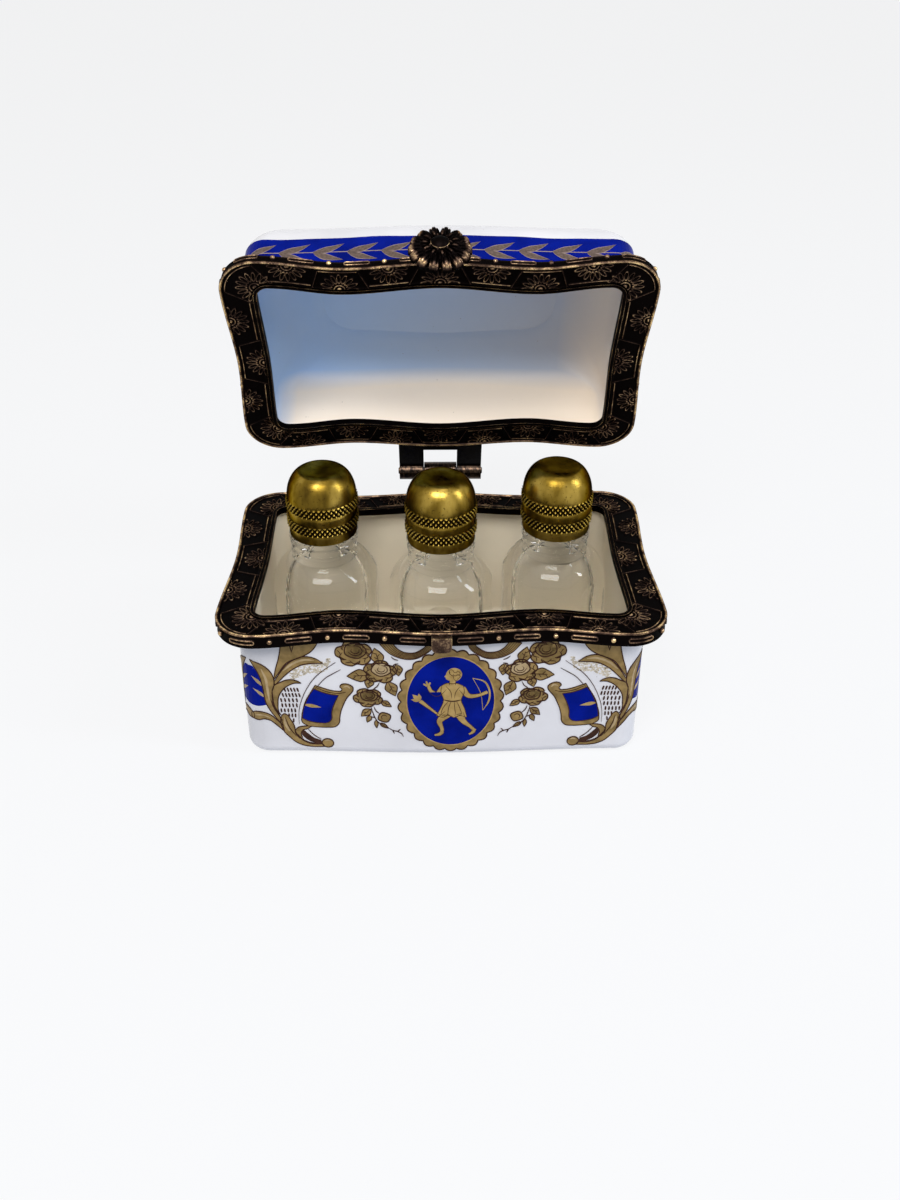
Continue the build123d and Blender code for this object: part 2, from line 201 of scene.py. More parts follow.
# %% Helpers for finishes
class Finish:
    """A material with a Principled shader and a few helpers round it."""

    def __init__(self, name):
        self.material = bpy.data.materials.new(name)
        self.material.use_nodes = True
        self.nodes = self.material.node_tree.nodes
        self.links = self.material.node_tree.links
        self.shader = self.nodes["Principled BSDF"]
        coordinates = self.nodes.new("ShaderNodeTexCoord").outputs
        self.place, self.facing = coordinates["Object"], coordinates["Normal"]

    def set(self, **values):
        for name, value in values.items():
            self.shader.inputs[name.replace("_", " ")].default_value = value

    def noise(self, size_mm, detail=3.0, stretch=(1, 1, 1)):
        """Noise whose blotches are about size_mm across."""
        mapping = self.nodes.new("ShaderNodeMapping")
        mapping.inputs["Scale"].default_value = stretch
        self.links.new(self.place, mapping.inputs["Vector"])
        texture = self.nodes.new("ShaderNodeTexNoise")
        texture.inputs["Scale"].default_value = 1 / (size_mm * MM)
        texture.inputs["Detail"].default_value = detail
        self.links.new(mapping.outputs["Vector"], texture.inputs["Vector"])
        return texture.outputs["Fac"]

    def ramp(self, value, *stops):
        """Maps a value through (place, colour) stops."""
        ramp = self.nodes.new("ShaderNodeValToRGB")
        band = ramp.color_ramp
        while len(band.elements) < len(stops):
            band.elements.new(0.5)
        for element, (place, colour) in zip(band.elements, stops):
            element.position = place
            element.color = (*colour, 1.0)
        self.links.new(value, ramp.inputs["Fac"])
        return ramp.outputs["Color"]

    def between(self, value, low, high, start=0.0, end=1.0):
        """Maps a value from low..high to start..end, held at the ends."""
        node = self.nodes.new("ShaderNodeMapRange")
        for name, number in (("From Min", low), ("From Max", high), ("To Min", start), ("To Max", end)):
            node.inputs[name].default_value = number
        self.links.new(value, node.inputs["Value"])
        return node.outputs["Result"]

    def math(self, operation, first, second):
        """Arithmetic on numbers and sockets."""
        node = self.nodes.new("ShaderNodeMath")
        node.operation = operation
        for socket, value in zip(node.inputs, (first, second)):
            if isinstance(value, (int, float)):
                socket.default_value = value
            else:
                self.links.new(value, socket)
        return node.outputs["Value"]

    def vector(self, operation, first, second=None):
        """Vector arithmetic; LENGTH and DOT_PRODUCT give a number."""
        node = self.nodes.new("ShaderNodeVectorMath")
        node.operation = operation
        self.links.new(first, node.inputs[0])
        if isinstance(second, (tuple, Vector)):
            node.inputs[1].default_value = second
        elif second is not None:
            self.links.new(second, node.inputs[1])
        return node.outputs["Value" if operation in ("LENGTH", "DOT_PRODUCT") else "Vector"]

    def mix(self, share, first, second):
        """Blends two colours by a share."""
        node = self.nodes.new("ShaderNodeMix")
        node.data_type = "RGBA"
        self.links.new(share, node.inputs["Factor"])
        for socket, colour in ((node.inputs[6], first), (node.inputs[7], second)):
            if isinstance(colour, tuple):
                socket.default_value = (*colour, 1.0)
            else:
                self.links.new(colour, socket)
        return node.outputs[2]

    def layer(self, name):
        """A number painted on the mesh's points."""
        node = self.nodes.new("ShaderNodeAttribute")
        node.attribute_name = name
        return node.outputs["Fac"]

    def edges(self, radius_mm):
        """1 on sharp edges, 0 on flats: how far a rounded normal leans from the true one."""
        bevel = self.nodes.new("ShaderNodeBevel")
        bevel.inputs["Radius"].default_value = radius_mm * MM
        geometry = self.nodes.new("ShaderNodeNewGeometry")
        agreement = self.vector("DOT_PRODUCT", bevel.outputs["Normal"], geometry.outputs["Normal"])
        return self.between(agreement, 1.0, 0.85)

    def split(self, output):
        """The X, Y and Z of a vector."""
        node = self.nodes.new("ShaderNodeSeparateXYZ")
        self.links.new(output, node.inputs["Vector"])
        return node.outputs

    def bump(self, height, distance_mm, strength=1.0):
        node = self.nodes.new("ShaderNodeBump")
        node.inputs["Strength"].default_value = strength
        node.inputs["Distance"].default_value = distance_mm * MM
        self.links.new(height, node.inputs["Height"])
        self.links.new(node.outputs["Normal"], self.shader.inputs["Normal"])

    def colour(self, output):
        self.links.new(output, self.shader.inputs["Base Color"])

    def rough(self, output):
        self.links.new(output, self.shader.inputs["Roughness"])


# %% [markdown]
# The bronze is antiqued: blackened all over, then rubbed, so that raised lines show brown and the
# rolled rim bright gold. The stamped pieces carry a "wear" number on their points, and plain
# pieces find their worn edges with a bevel test instead. On the clasp that number also holds a
# painted highlight on the finger tips.

# %% Antiqued bronze
BLACKENED = (0.003, 0.002, 0.002)
BROWNED = (0.070, 0.042, 0.030)
GOLD_BROWN = (0.32, 0.21, 0.12)
RUBBED_GOLD = (0.80, 0.58, 0.28)


def antiqued(name, worn_by_points, edge_radius=0.25, flats=0.0):
    """Bronze worn where its points say, or on its edges; flats is how far its flats are rubbed."""
    finish = Finish(name)
    finish.set(Metallic=0.85, Specular_IOR_Level=0.15, Specular_Tint=(0.25, 0.20, 0.16, 1))
    high = finish.layer("wear") if worn_by_points else finish.math("MULTIPLY", finish.edges(edge_radius), 0.8)
    high = finish.math("MAXIMUM", high, flats) if flats else high
    patches = finish.noise(2.4, 4.0)
    grain = finish.noise(0.35, 2.0)
    rubbed = finish.math("MULTIPLY", high, finish.between(patches, 0.38, 0.62, 0.55, 1.05))
    rubbed = finish.math("MULTIPLY", rubbed, finish.between(grain, 0.3, 0.7, 0.75, 1.15))
    stops = (0.15, BLACKENED), (0.42, BROWNED), (0.64, GOLD_BROWN), (0.92, RUBBED_GOLD)
    finish.colour(finish.ramp(rubbed, *stops))
    finish.rough(finish.between(rubbed, 0.1, 0.7, 0.42, 0.24))
    finish.bump(grain, 0.03, 0.5)
    return finish.material


stamped_bronze = antiqued("stamped_bronze", True)
plain_bronze = antiqued("plain_bronze", False)
catch_bronze = antiqued("catch_bronze", False, 0.4, 0.48)


# %% [markdown]
# The mounts are stamped from sheet: a flat land with daisies in slanted panels between two rolled
# lines, and a skirt with beads and dashes. One profile is swept round the plan, and each point is
# then pushed out by a height worked out from its place, as a stamp would push the metal. A height
# field gives soft, connected relief, which separate little flowers laid on top would not.

# %% Relief of the land
RELIEF = 0.45
DAISY_FRONT = (0.0, 10.5, 20.6, 31.0)
DAISY_SIDE = (0.0, 12.2)
PETALS = 16
PETAL_MIDDLE, PETAL_HALF_LENGTH, PETAL_HALF_WIDTH = 2.80, 1.40, 0.48
PETAL_HEIGHT, HUB_HEIGHT = 0.24, 0.30
HUB_RADIUS, HUB_RING_RADIUS = 0.30, 1.08
FAR = 99


def ridge(distance, half_width):
    """A rounded line, 1 along its middle and 0 beyond its edges."""
    return np.clip(1 - (distance / half_width) ** 2, 0, 1)


def line_distance(points, start, end):
    start, end = np.asarray(start), np.asarray(end)
    along = end - start
    share = ((points - start) @ along) / (along @ along)
    nearest = start + np.clip(share, 0, 1)[..., None] * along
    return np.linalg.norm(points - nearest, axis=-1)


def daisy(points, centre):
    """Heights of one daisy: a ringed hub and petals with raised rims."""
    away = points - centre
    radius = np.linalg.norm(away, axis=-1)
    turn = np.arctan2(away[..., 1], away[..., 0]) * PETALS / (2 * math.pi)
    aside = (turn - np.round(turn)) * 2 * math.pi / PETALS * radius
    along = (radius - PETAL_MIDDLE) / PETAL_HALF_LENGTH
    inside = np.sqrt(along**2 + (aside / PETAL_HALF_WIDTH) ** 2)
    rim = np.exp(-(((inside - 0.80) / 0.22) ** 2)) * (inside < 1.25)
    hub = ridge(np.clip(radius - HUB_RADIUS, 0, FAR), 0.30) + 0.9 * ridge(radius - HUB_RING_RADIUS, 0.2)
    return np.maximum(PETAL_HEIGHT * rim, HUB_HEIGHT * hub)


def beside(loop, x=None, y=None):
    """The index of the loop's point nearest a place on the front (by x) or right side (by y)."""
    count = len(loop)
    if x is not None:
        return min(range(count), key=lambda i: abs(loop[i, 0] - x) + (loop[i, 1] > 0) * FAR)
    return min(range(count), key=lambda i: abs(loop[i, 1] - y) + (loop[i, 0] < 0) * FAR)


# %% [markdown]
# The daisies sit alternately on the outer and the inner line, half of each cut off by it. The
# ridges between the panels lean so that each panel is widest where its daisy sits, and a short
# line closes its narrow side. The corners hold one on the inner line.

# %% Where the daisies and the leaning ridges go
mount_loop, mount_normal, mount_travel = plan_loop(MOUNT_PLAN, MOUNT_COUNTS)
opening_loop = plan_loop(OPENING_PLAN, MOUNT_COUNTS)[0]
ROUND_COUNT = len(mount_loop)
ROUND_LENGTH = mount_travel[-1]
corner_index = sum(MOUNT_COUNTS[:2]) + MOUNT_COUNTS[2] // 2

OUTER_LINE, INNER_LINE = 1.20, 0.25
OUTER_DAISY = 0.75
LEAN = 1.0


def across(index, from_outer=None, from_inner=0.0):
    """A plan point on the line from the outer edge to the opening at one place of the loop."""
    outer, inner = mount_loop[index % ROUND_COUNT], opening_loop[index % ROUND_COUNT]
    span = np.linalg.norm(inner - outer)
    distance = from_outer if from_outer is not None else span - from_inner
    return outer + (inner - outer) * distance / span


def panels_round():
    """Every panel as (loop index of its daisy, whether that sits on the inner line), in order."""
    first = mount_loop[: ROUND_COUNT // 4 + 1]
    found = [(beside(first, x=x), k % 2 == 0) for k, x in enumerate(DAISY_FRONT)]
    found += [(corner_index, True)]
    found += [(beside(first, y=-y), k % 2 == 0) for k, y in enumerate(DAISY_SIDE)]
    half = ROUND_COUNT // 2
    all_round = set()
    for index, inner in found:
        for copy in (index, half - index, half + index, -index):
            all_round.add((copy % ROUND_COUNT, inner))
    return sorted(all_round)


panels = panels_round()
daisy_centres = []
separators = []
between_panels = []
for (index, inner), (after, _) in zip(panels, panels[1:] + [(ROUND_COUNT, True)]):
    where = across(index, from_inner=INNER_LINE) if inner else across(index, from_outer=OUTER_DAISY)
    daisy_centres.append(where)
    middle = (index + after) // 2
    between_panels.append(mount_travel[middle])
    lean = int(round(LEAN / (mount_travel[middle + 1] - mount_travel[middle]))) * (-1 if inner else 1)
    ends = across(middle + lean, from_outer=OUTER_LINE), across(middle - lean, from_inner=INNER_LINE)
    separators.append(ends)
print(len(daisy_centres), "daisies and", len(separators), "ridges round each mount")


# %% [markdown]
# The profile is a list of rows, from the inner edge, over the land and the rolled rim, down the
# skirt and back underneath, so the mount is one closed piece of metal.

# %% Sweep and stamp a mount
LAND_ROWS = 54
FLANGE = 1.2
# rise, inset and wear of the rows that roll over the rim
RIM_ROLL = ((0.22, 0.02, 0.8), (0.05, 0.0, 0.35), (-0.15, 0.10, 0.05))
SKIRT_SETBACK, SKIRT_INNER = 0.35, 1.25
SKIRT_TOP, SKIRT_ROWS = 0.30, 21
BEAD_COUNT = 25
BEAD_RADIUS, BEAD_PROUD = 0.60, 0.72
DASH_HALF_LENGTH, DASH_HALF_HEIGHT, DASH_PROUD = 2.75, 0.62, 0.42
DASH_MIDDLE = 1.75
LIP_PROUD = 0.16
CLOSING_LINE = 0.85
CLOSING_GAP = 0.25
RIM_MIDDLE, RIM_HALF_WIDTH = 0.28, 0.38


def land_heights(points, from_outer, from_inner):
    """Stamped heights over the land, with their wear."""
    height = np.zeros(points.shape[:2])
    for centre in daisy_centres:
        close = np.linalg.norm(points - centre, axis=-1) < PETAL_MIDDLE + PETAL_HALF_LENGTH + 1
        height[close] = np.maximum(height[close], daisy(points[close], centre))
    height = height * (from_outer > OUTER_DAISY) * (from_inner > INNER_LINE)
    worn = 0.78 * np.clip(height / PETAL_HEIGHT, 0, 1) ** 3
    lines = 0.7 * ridge(from_inner - INNER_LINE, 0.2)
    for start, end in separators:
        lines = np.maximum(lines, 0.9 * ridge(line_distance(points, start, end), 0.19))
    starts = between_panels[-1:] + between_panels[:-1]
    for (_, inner), start, end in zip(panels, starts, between_panels):
        length = (end - start) % ROUND_LENGTH - 2 * (LEAN + CLOSING_GAP)
        here = (mount_travel[:-1] - start - LEAN - CLOSING_GAP) % ROUND_LENGTH < length
        line = ridge(from_outer - OUTER_LINE if inner else from_inner - CLOSING_LINE, 0.22)
        lines = np.maximum(lines, 1.1 * line * here)
    height = np.maximum(height, PETAL_HEIGHT * np.clip(lines, 0, 1))
    worn = np.maximum(worn, 0.70 * np.clip(lines, 0, 1.1) ** 3)
    rim = np.sqrt(ridge(from_outer - RIM_MIDDLE, RIM_HALF_WIDTH))
    height = np.maximum(height, RELIEF * rim)
    worn = np.maximum(worn, 0.95 * np.clip(rim * 1.3 - 0.3, 0, 1) ** 1.5)
    return height, worn


def skirt_heights(travel, level):
    """Beads and long oval frames along the skirt; level is the height above their middle line."""
    pitch = ROUND_LENGTH / BEAD_COUNT
    bead_at = np.abs((travel / pitch + 0.5) % 1 - 0.5) * pitch
    dash_at = np.abs(travel / pitch % 1 - 0.5) * pitch
    bead = BEAD_PROUD * np.sqrt(ridge(np.hypot(bead_at, level), BEAD_RADIUS))
    beyond = np.clip(dash_at - DASH_HALF_LENGTH + DASH_HALF_HEIGHT, 0, FAR)
    away = np.hypot(beyond, level)
    frame_line = DASH_PROUD * ridge(away - DASH_HALF_HEIGHT + 0.18, 0.24)
    inside = 0.45 * DASH_PROUD * (away < DASH_HALF_HEIGHT)
    return np.maximum.reduce([bead, frame_line, inside])


def stamped_mount(name, face_z, facing, skirt_end, body, node, pose):
    """facing is 1 for a mount whose land looks up and -1 for one whose land looks down."""
    span = np.linalg.norm(opening_loop - mount_loop, axis=1)
    land = face_z - facing * RELIEF
    seat = land - facing * FLANGE
    rows, wear = [], []

    def add(xy, z, worn):
        rows.append(np.column_stack([xy, np.broadcast_to(z, len(xy))]))
        wear.append(np.broadcast_to(worn, len(xy)))

    add(opening_loop, seat, 0.0)
    shares = np.linspace(1, 0, LAND_ROWS + 1)
    strip = mount_loop[None] + (opening_loop - mount_loop)[None] * shares[:, None, None]
    from_outer = shares[:, None] * span[None]
    heights, worn = land_heights(strip, from_outer, span[None] - from_outer)
    for xy, height, row_worn in zip(strip, heights, worn):
        add(xy, land + facing * height, row_worn)
    for rise, inset, row_worn in RIM_ROLL:
        add(mount_loop - mount_normal * inset, land + facing * rise, row_worn)
    skirt_rows = np.linspace(SKIRT_TOP, skirt_end - RELIEF, SKIRT_ROWS)
    travel = mount_travel[:-1]
    for down in skirt_rows:
        proud = skirt_heights(travel, down - (DASH_MIDDLE - RELIEF))
        lip = LIP_PROUD * ridge(down - skirt_rows[-1] + 0.10, 0.16)
        proud = np.maximum(proud, lip)
        out = mount_loop - mount_normal * (SKIRT_SETBACK - proud)[:, None]
        add(out, land - facing * down, 0.85 * np.clip(proud / 0.44, 0, 1) ** 2)
    low = land - facing * (skirt_end - RELIEF)
    add(mount_loop - mount_normal * SKIRT_INNER, low, 0.2)
    add(mount_loop - mount_normal * SKIRT_INNER, seat, 0.0)
    points = pose(np.vstack(rows))
    mount = piece(name, points, grid_faces(len(rows), ROUND_COUNT), stamped_bronze, body)
    outward(mount)
    number_points(mount, "wear", wear)
    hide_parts(node)
    print(name, len(points), "points")


BASE_FACE, LID_FACE = 33.9, 34.05
BASE_SKIRT, LID_SKIRT = 3.2, 2.4
stamped_mount("base_mount_relief", BASE_FACE, 1, BASE_SKIRT, "base", "base_mount", as_drawn)
stamped_mount("lid_mount_relief", LID_FACE, -1, LID_SKIRT, "lid", "lid_mount", swing)

# %% [markdown]
# The clasp is a thick rosette of two rings of petals. It is a height field in polar form. The outer
# petals bend down at their ends like fingers, with deep dark gaps between them. The rivet's round
# head in the middle is the frame's own piece.

# %% Sculpt the clasp flower
FLOWER_RISE = 0.5
FLOWER_BACK_Y = -30.25
OUTER_PETALS, INNER_PETALS, HEART_PETALS = 14, 11, 7
INNER_TURN = 0.3
FLOWER_RADIUS, FLOWER_HOLE = 6.4, 0.95
HUB_THICKNESS, SHEET_THICKNESS = 1.0, 0.35


def petal_ring(radius, turn, count, middle, half_length, half_width, top):
    """Height of a ring of domed petals, with a fine crease along each side of every petal."""
    place = turn * count / (2 * math.pi)
    aside = (place - np.round(place)) * 2 * math.pi / count * radius
    along = ridge(radius - middle, half_length)
    swell = ridge(aside, half_width)
    crease = 0.45 * np.exp(-(((np.abs(aside) - 0.45 * half_width) / 0.13) ** 2))
    return (swell > 0) * (along > 0) * (top * along**0.35 * (0.4 + 0.6 * np.sqrt(swell)) - crease)


def flower_surface(radius, turn):
    """Height of the rosette: long outer petals, inner ones between them, a heart and a hub."""
    outer = petal_ring(radius, turn, OUTER_PETALS, middle=4.4, half_length=2.05, half_width=1.05, top=2.35)
    turned = turn + INNER_TURN
    inner = petal_ring(radius, turned, INNER_PETALS, middle=3.1, half_length=1.35, half_width=0.82, top=2.9)
    heart = petal_ring(radius, turn, HEART_PETALS, middle=1.9, half_length=0.9, half_width=0.75, top=3.1)
    inner = np.maximum(inner, heart)
    inner = np.where(radius < 1.95, np.minimum(inner, 2.6), inner)
    hub = HUB_THICKNESS * (radius < 3.4)
    return np.maximum.reduce([outer, inner, hub, SHEET_THICKNESS + 0 * radius])


def clasp_flower():
    turns = np.linspace(0, 2 * math.pi, 28 * OUTER_PETALS, endpoint=False)
    place = turns * OUTER_PETALS / (2 * math.pi)
    aside = np.abs(place - np.round(place)) * 2
    reach = FLOWER_RADIUS - 1.9 * np.clip((aside - 0.62) / 0.38, 0, 1) ** 0.7
    rings, heights = [], []
    for radius in np.concatenate([[FLOWER_HOLE], np.linspace(1.1, FLOWER_RADIUS, 52)]):
        ring = np.minimum(radius, reach)
        rings.append(ring)
        heights.append(flower_surface(ring, turns))
    for ring in (reach, FLOWER_HOLE + 0 * reach):
        rings.append(ring)
        heights.append(0 * reach)
    rings, heights = np.array(rings), np.array(heights)
    x = rings * np.cos(turns)
    z = LID_FACE + FLOWER_RISE + rings * np.sin(turns)
    points = np.stack([x, FLOWER_BACK_Y - heights, z], axis=-1).reshape(-1, 3)
    faces = grid_faces(len(rings), len(turns))
    flower = piece("clasp_rosette", swing(points), faces, stamped_bronze, "lid")
    outward(flower)
    # The wear number here also holds a painted highlight on the bent finger tips, where light would catch
    # them; the tops of the heart petals are rubbed.
    painted_tip_highlight = np.clip((rings - 5.0) / 0.7, 0, 1) * np.clip((heights - 0.6) / 0.8, 0, 1)
    wear = 0.16 + 0.54 * painted_tip_highlight + 0.22 * (heights > 2.7)
    number_points(flower, "wear", wear)
    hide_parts("clasp_flower")
    print("rosette", len(points), "points")


clasp_flower()

# %% [markdown]
# The caps are turned from yellow brass, with two bands pressed by a diamond knurl. A knurl is two
# sets of slanting V grooves, so the height at a point is set by the nearer groove. The profile is
# turned round the bottle's axis, and only the band rows get the knurl.

# %% Yellow brass
BRASS_DARK = (0.032, 0.018, 0.003)
BRASS_MIDDLE = (0.165, 0.105, 0.014)
BRASS_BRIGHT = (0.40, 0.275, 0.055)
BRASS_WORN = (0.40, 0.28, 0.060)
GROOVE_BLACK = (0.014, 0.008, 0.002)


def brass():
    finish = Finish("cap_brass")
    finish.set(Metallic=1.0, Specular_Tint=(0.06, 0.04, 0.02, 1))
    stain = finish.noise(5.0, 3.0, (1, 1, 0.5))
    speck = finish.noise(0.5, 2.0)
    lathe = finish.noise(0.25, 1.0, (0.02, 0.02, 1))
    tone = finish.ramp(stain, (0.30, BRASS_DARK), (0.48, BRASS_MIDDLE), (0.66, BRASS_BRIGHT))
    groove = finish.layer("groove")
    tone = finish.mix(finish.between(speck, 0.62, 0.70, 0.0, 0.6), tone, BRASS_DARK)
    tone = finish.mix(finish.between(groove, -1.0, 0.0, 0.9, 0.0), tone, BRASS_WORN)
    finish.colour(finish.mix(finish.between(groove, 0.0, 1.0), tone, GROOVE_BLACK))
    finish.rough(finish.between(stain, 0.3, 0.7, 0.36, 0.27))
    finish.bump(lathe, 0.02, 0.5)
    return finish.material


cap_brass = brass()

# %% Turn and knurl the caps
BOTTLE_PLACES = {"left": (-25.6, 5.8), "middle": (0.0, 2.3), "right": (25.2, 7.0)}
CAP_BOTTOM, CAP_TOP = 37.3, 52.1
KNURL_TEETH, KNURL_SAMPLES = 44, 8
KNURL_DEPTH, KNURL_ROWS = 0.55, 18
BAND_HEIGHT = 2.0
MOUTH_RADIUS, BAND_RADIUS, WAIST_RADIUS = 7.35, 7.85, 7.56
BORE_RADIUS, BORE_TOP = 6.28, 46.7
CROWN_RADIUS, SHOULDER_RADIUS = 3.9, 3.6
DISH_DEPTH, CROWN_THICKNESS = 0.25, 1.1


def knurl(turns, level):
    """Depth of the diamond knurl below its points, 0 at a point and 1 in a groove."""
    slant = turns * KNURL_TEETH / (2 * math.pi)
    rise = level / BAND_HEIGHT * 1.5
    one = np.abs((slant + rise) % 1 - 0.5) * 2
    other = np.abs((slant - rise) % 1 - 0.5) * 2
    return np.maximum(one, other)


def cap_profile():
    """Rows of (radius, height, knurl level or None) from the mouth over the dome and back inside."""
    z = CAP_BOTTOM
    rows = [(MOUTH_RADIUS - 0.20, z, None), (MOUTH_RADIUS - 0.02, z + 0.12, None)]
    rows += [(MOUTH_RADIUS, z + 0.5, None), (MOUTH_RADIUS, z + 2.2, None)]
    rows += [(7.28, z + 2.38, None)]
    band_starts = (z + 2.4, z + 8.7 - BAND_HEIGHT)
    for start in band_starts:
        for step in range(KNURL_ROWS + 1):
            level = BAND_HEIGHT * step / KNURL_ROWS
            rows.append((BAND_RADIUS, start + level, level))
        if start == band_starts[0]:
            low, high = start + BAND_HEIGHT, band_starts[1]
            waist = [(7.36, 0.04), (7.50, 0.20), (WAIST_RADIUS, 0.6)]
            rows += [(radius, low + rise, None) for radius, rise in waist]
            rows += [(radius, high - rise, None) for radius, rise in waist[::-1]]
    spring = band_starts[1] + BAND_HEIGHT
    rows.append((7.45, spring + 0.03, None))
    for angle in np.radians(np.linspace(4, 84, 17)):
        radius = CROWN_RADIUS + SHOULDER_RADIUS * math.cos(angle)
        rows.append((radius, spring + (CAP_TOP - spring) * math.sin(angle), None))
    dish = CAP_TOP - DISH_DEPTH
    roof = dish - CROWN_THICKNESS
    rows += [(4.0, CAP_TOP - 0.02, None), (3.7, CAP_TOP - 0.05, None), (3.2, dish + 0.12, None)]
    rows += [(2.4, dish + 0.02, None), (1.2, dish, None)]
    rows += [(0.05, dish, None), (0.01, dish, None), (0.01, roof, None), (CROWN_RADIUS, roof, None)]
    rows += [(BORE_RADIUS - 1.0, BORE_TOP, None), (BORE_RADIUS, BORE_TOP, None), (BORE_RADIUS, z, None)]
    return rows


def turned_cap(place):
    """One cap round its bottle's axis, with a groove number for the brass."""
    turns = np.linspace(0, 2 * math.pi, KNURL_TEETH * KNURL_SAMPLES, endpoint=False)
    points, groove = [], []
    centre_x, centre_y = BOTTLE_PLACES[place]
    for radius, z, level in cap_profile():
        depth = 0 * turns if level is None else knurl(turns, level)
        ring = radius - KNURL_DEPTH * depth
        x, y = centre_x + ring * np.cos(turns), centre_y + ring * np.sin(turns)
        points.append(np.column_stack([x, y, np.full_like(x, z)]))
        points_of_knurl = 0 * turns if level is None else np.clip((0.35 - depth) / 0.25, 0, 1)
        groove.append(np.clip((depth - 0.38) / 0.25, 0, 1) - points_of_knurl)
    faces = grid_faces(len(points), len(turns))
    name = "knurled_cap_" + place
    cap = piece(name, np.vstack(points), faces, cap_brass, "cap_" + place)
    outward(cap)
    number_points(cap, "groove", groove)
    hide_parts("cap_" + place)


for bottle_place in BOTTLE_PLACES:
    turned_cap(bottle_place)
print("knurl of", KNURL_TEETH, "teeth on", len(BOTTLE_PLACES), "caps")

# %% [markdown]
# The painting on the porcelain is printed in enamel: cobalt blue, a matt gold and dark brown
# lines. Real enamel stands a little proud, so each colour is a thin raised patch that follows the
# wall. Shapes are drawn flat, in millimetres along the wall and up it, as a painter would.

# %% Smooth lines and patches for the painting
LINE_SPACING = 0.3


def smooth_line(points, closed=False):
    """A smooth line through given points, with tangents that respect uneven spacing."""
    given = np.asarray(points, float)
    if closed:
        held = np.vstack([given[-1:], given, given[:2]])
    else:
        held = np.vstack([2 * given[:1] - given[1:2], given, 2 * given[-1:] - given[-2:-1]])
    step = np.diff(held, axis=0)
    gap = np.linalg.norm(step, axis=1)[:, None] + 1e-9
    slope = step / gap
    tangent = (slope[:-1] * gap[1:] + slope[1:] * gap[:-1]) / (gap[:-1] + gap[1:])
    drawn = []
    for i in range(len(given) if closed else len(given) - 1):
        a, b, reach = held[i + 1], held[i + 2], gap[i + 1]
        count = max(2, math.ceil(float(reach[0]) / LINE_SPACING))
        t = (np.arange(count) / count)[:, None]
        pull_a, pull_b = tangent[i] * reach, tangent[i + 1] * reach
        curve = (2 * t**3 - 3 * t**2 + 1) * a + (t**3 - 2 * t**2 + t) * pull_a
        drawn.append(curve + (3 * t**2 - 2 * t**3) * b + (t**3 - t**2) * pull_b)
    if not closed:
        drawn.append(given[-1:])
    return np.vstack(drawn)


def patch(outline):
    """A filled patch inside a closed outline."""
    flat = [Vector((x, y, 0)) for x, y in outline]
    return np.asarray(outline), [list(face) for face in tessellate_polygon([flat])]


def sideways(line):
    """Unit steps to the left of a line at each of its points."""
    along = np.gradient(line, axis=0)
    along /= np.linalg.norm(along, axis=1)[:, None] + 1e-9
    return np.stack([-along[:, 1], along[:, 0]], axis=1)


def strip_faces(count):
    """Faces between two lines of count points that follow each other in one list."""
    return [[i, i + 1, count + i + 1, count + i] for i in range(count - 1)]


TAPER_SHARE = 0.25


def stroke(points, width, taper=(0.3, 0.3)):
    """A brush line along points, narrowing to a share of its width at its two ends."""
    points = np.asarray(points, float)
    side = sideways(points)
    t = np.linspace(0, 1, len(points))
    ends = zip(taper, (t, 1 - t))
    press = np.minimum(*(least + (1 - least) * run / TAPER_SHARE for least, run in ends))
    half = np.clip(press, 0, 1)[:, None] * width / 2
    return np.vstack([points + side * half, points - side * half]), strip_faces(len(points))


class Art:
    """Patches of each enamel, drawn flat."""

    def __init__(self):
        self.patches = defaultdict(list)

    def fill(self, enamel, outline):
        self.patches[enamel].append(patch(outline))

    def brush(self, enamel, line, width, taper=(0.3, 0.3)):
        """A brush line along a line whose every point is known."""
        self.patches[enamel].append(stroke(line, width, taper))

    def draw(self, enamel, points, width=0.22, taper=(0.3, 0.3)):
        """A brush line along a smooth line through a few points."""
        self.brush(enamel, smooth_line(points), width, taper)

    def ring(self, enamel, line, width):
        """A brush line all round a closed line."""
        self.brush(enamel, np.vstack([line, line[:1]]), width, (1, 1))

    def shape(self, enamel, *sides, edge=0.22):
        """A patch whose sides are smooth lines that meet in corners, with a brown edge."""
        lines = [smooth_line(side) for side in sides]
        self.fill(enamel, np.vstack([line[:-1] for line in lines]))
        if edge:
            for line in lines:
                self.brush("line", line, edge, (0.6, 0.6))

    def loop(self, enamel, points, edge):
        """A patch inside one smooth closed line, with a brown edge."""
        line = smooth_line(points, closed=True)
        self.fill(enamel, line)
        self.ring("line", line, edge)


# %% [markdown]
# Flowers and leaves repeat all over the casket, so each has a small drawing routine: a leaf from
# its root, tip and width, and a rose from its middle and radius.

# %% Leaves and roses
def leaf(art, root, tip, width, bend=0.0, enamel="gold", vein=True, edge=0.2):
    """A pointed leaf from root to tip, bowed sideways by bend."""
    root, tip = np.array(root, float), np.array(tip, float)
    along = tip - root
    side = np.array([-along[1], along[0]]) / np.linalg.norm(along)
    shares = np.array([0.0, 0.15, 0.4, 0.7, 1.0])
    widths = np.array([0.15, 0.62, 1.0, 0.62, 0.0]) * width / 2
    spine = root + along * shares[:, None] + side * (bend * 4 * shares * (1 - shares))[:, None]
    upper = spine + side * widths[:, None]
    lower = spine - side * widths[:, None]
    art.shape(enamel, upper, lower[::-1], edge=edge)
    if vein:
        art.draw("line", spine[:4], 0.16)
        for share, sign in ((0.30, 1), (0.45, -1), (0.60, 1)):
            start = root + along * share
            art.draw("line", [start, start + along * 0.14 + sign * side * width * 0.26], 0.13)


def ring_points(centre, radii, count, turn=0.0):
    """Points round a centre, with the radii repeated one after another."""
    angles = turn + np.arange(count) * 2 * math.pi / count
    lengths = np.resize(radii, count)
    return np.array(centre) + np.stack([lengths * np.cos(angles), lengths * np.sin(angles)], axis=1)


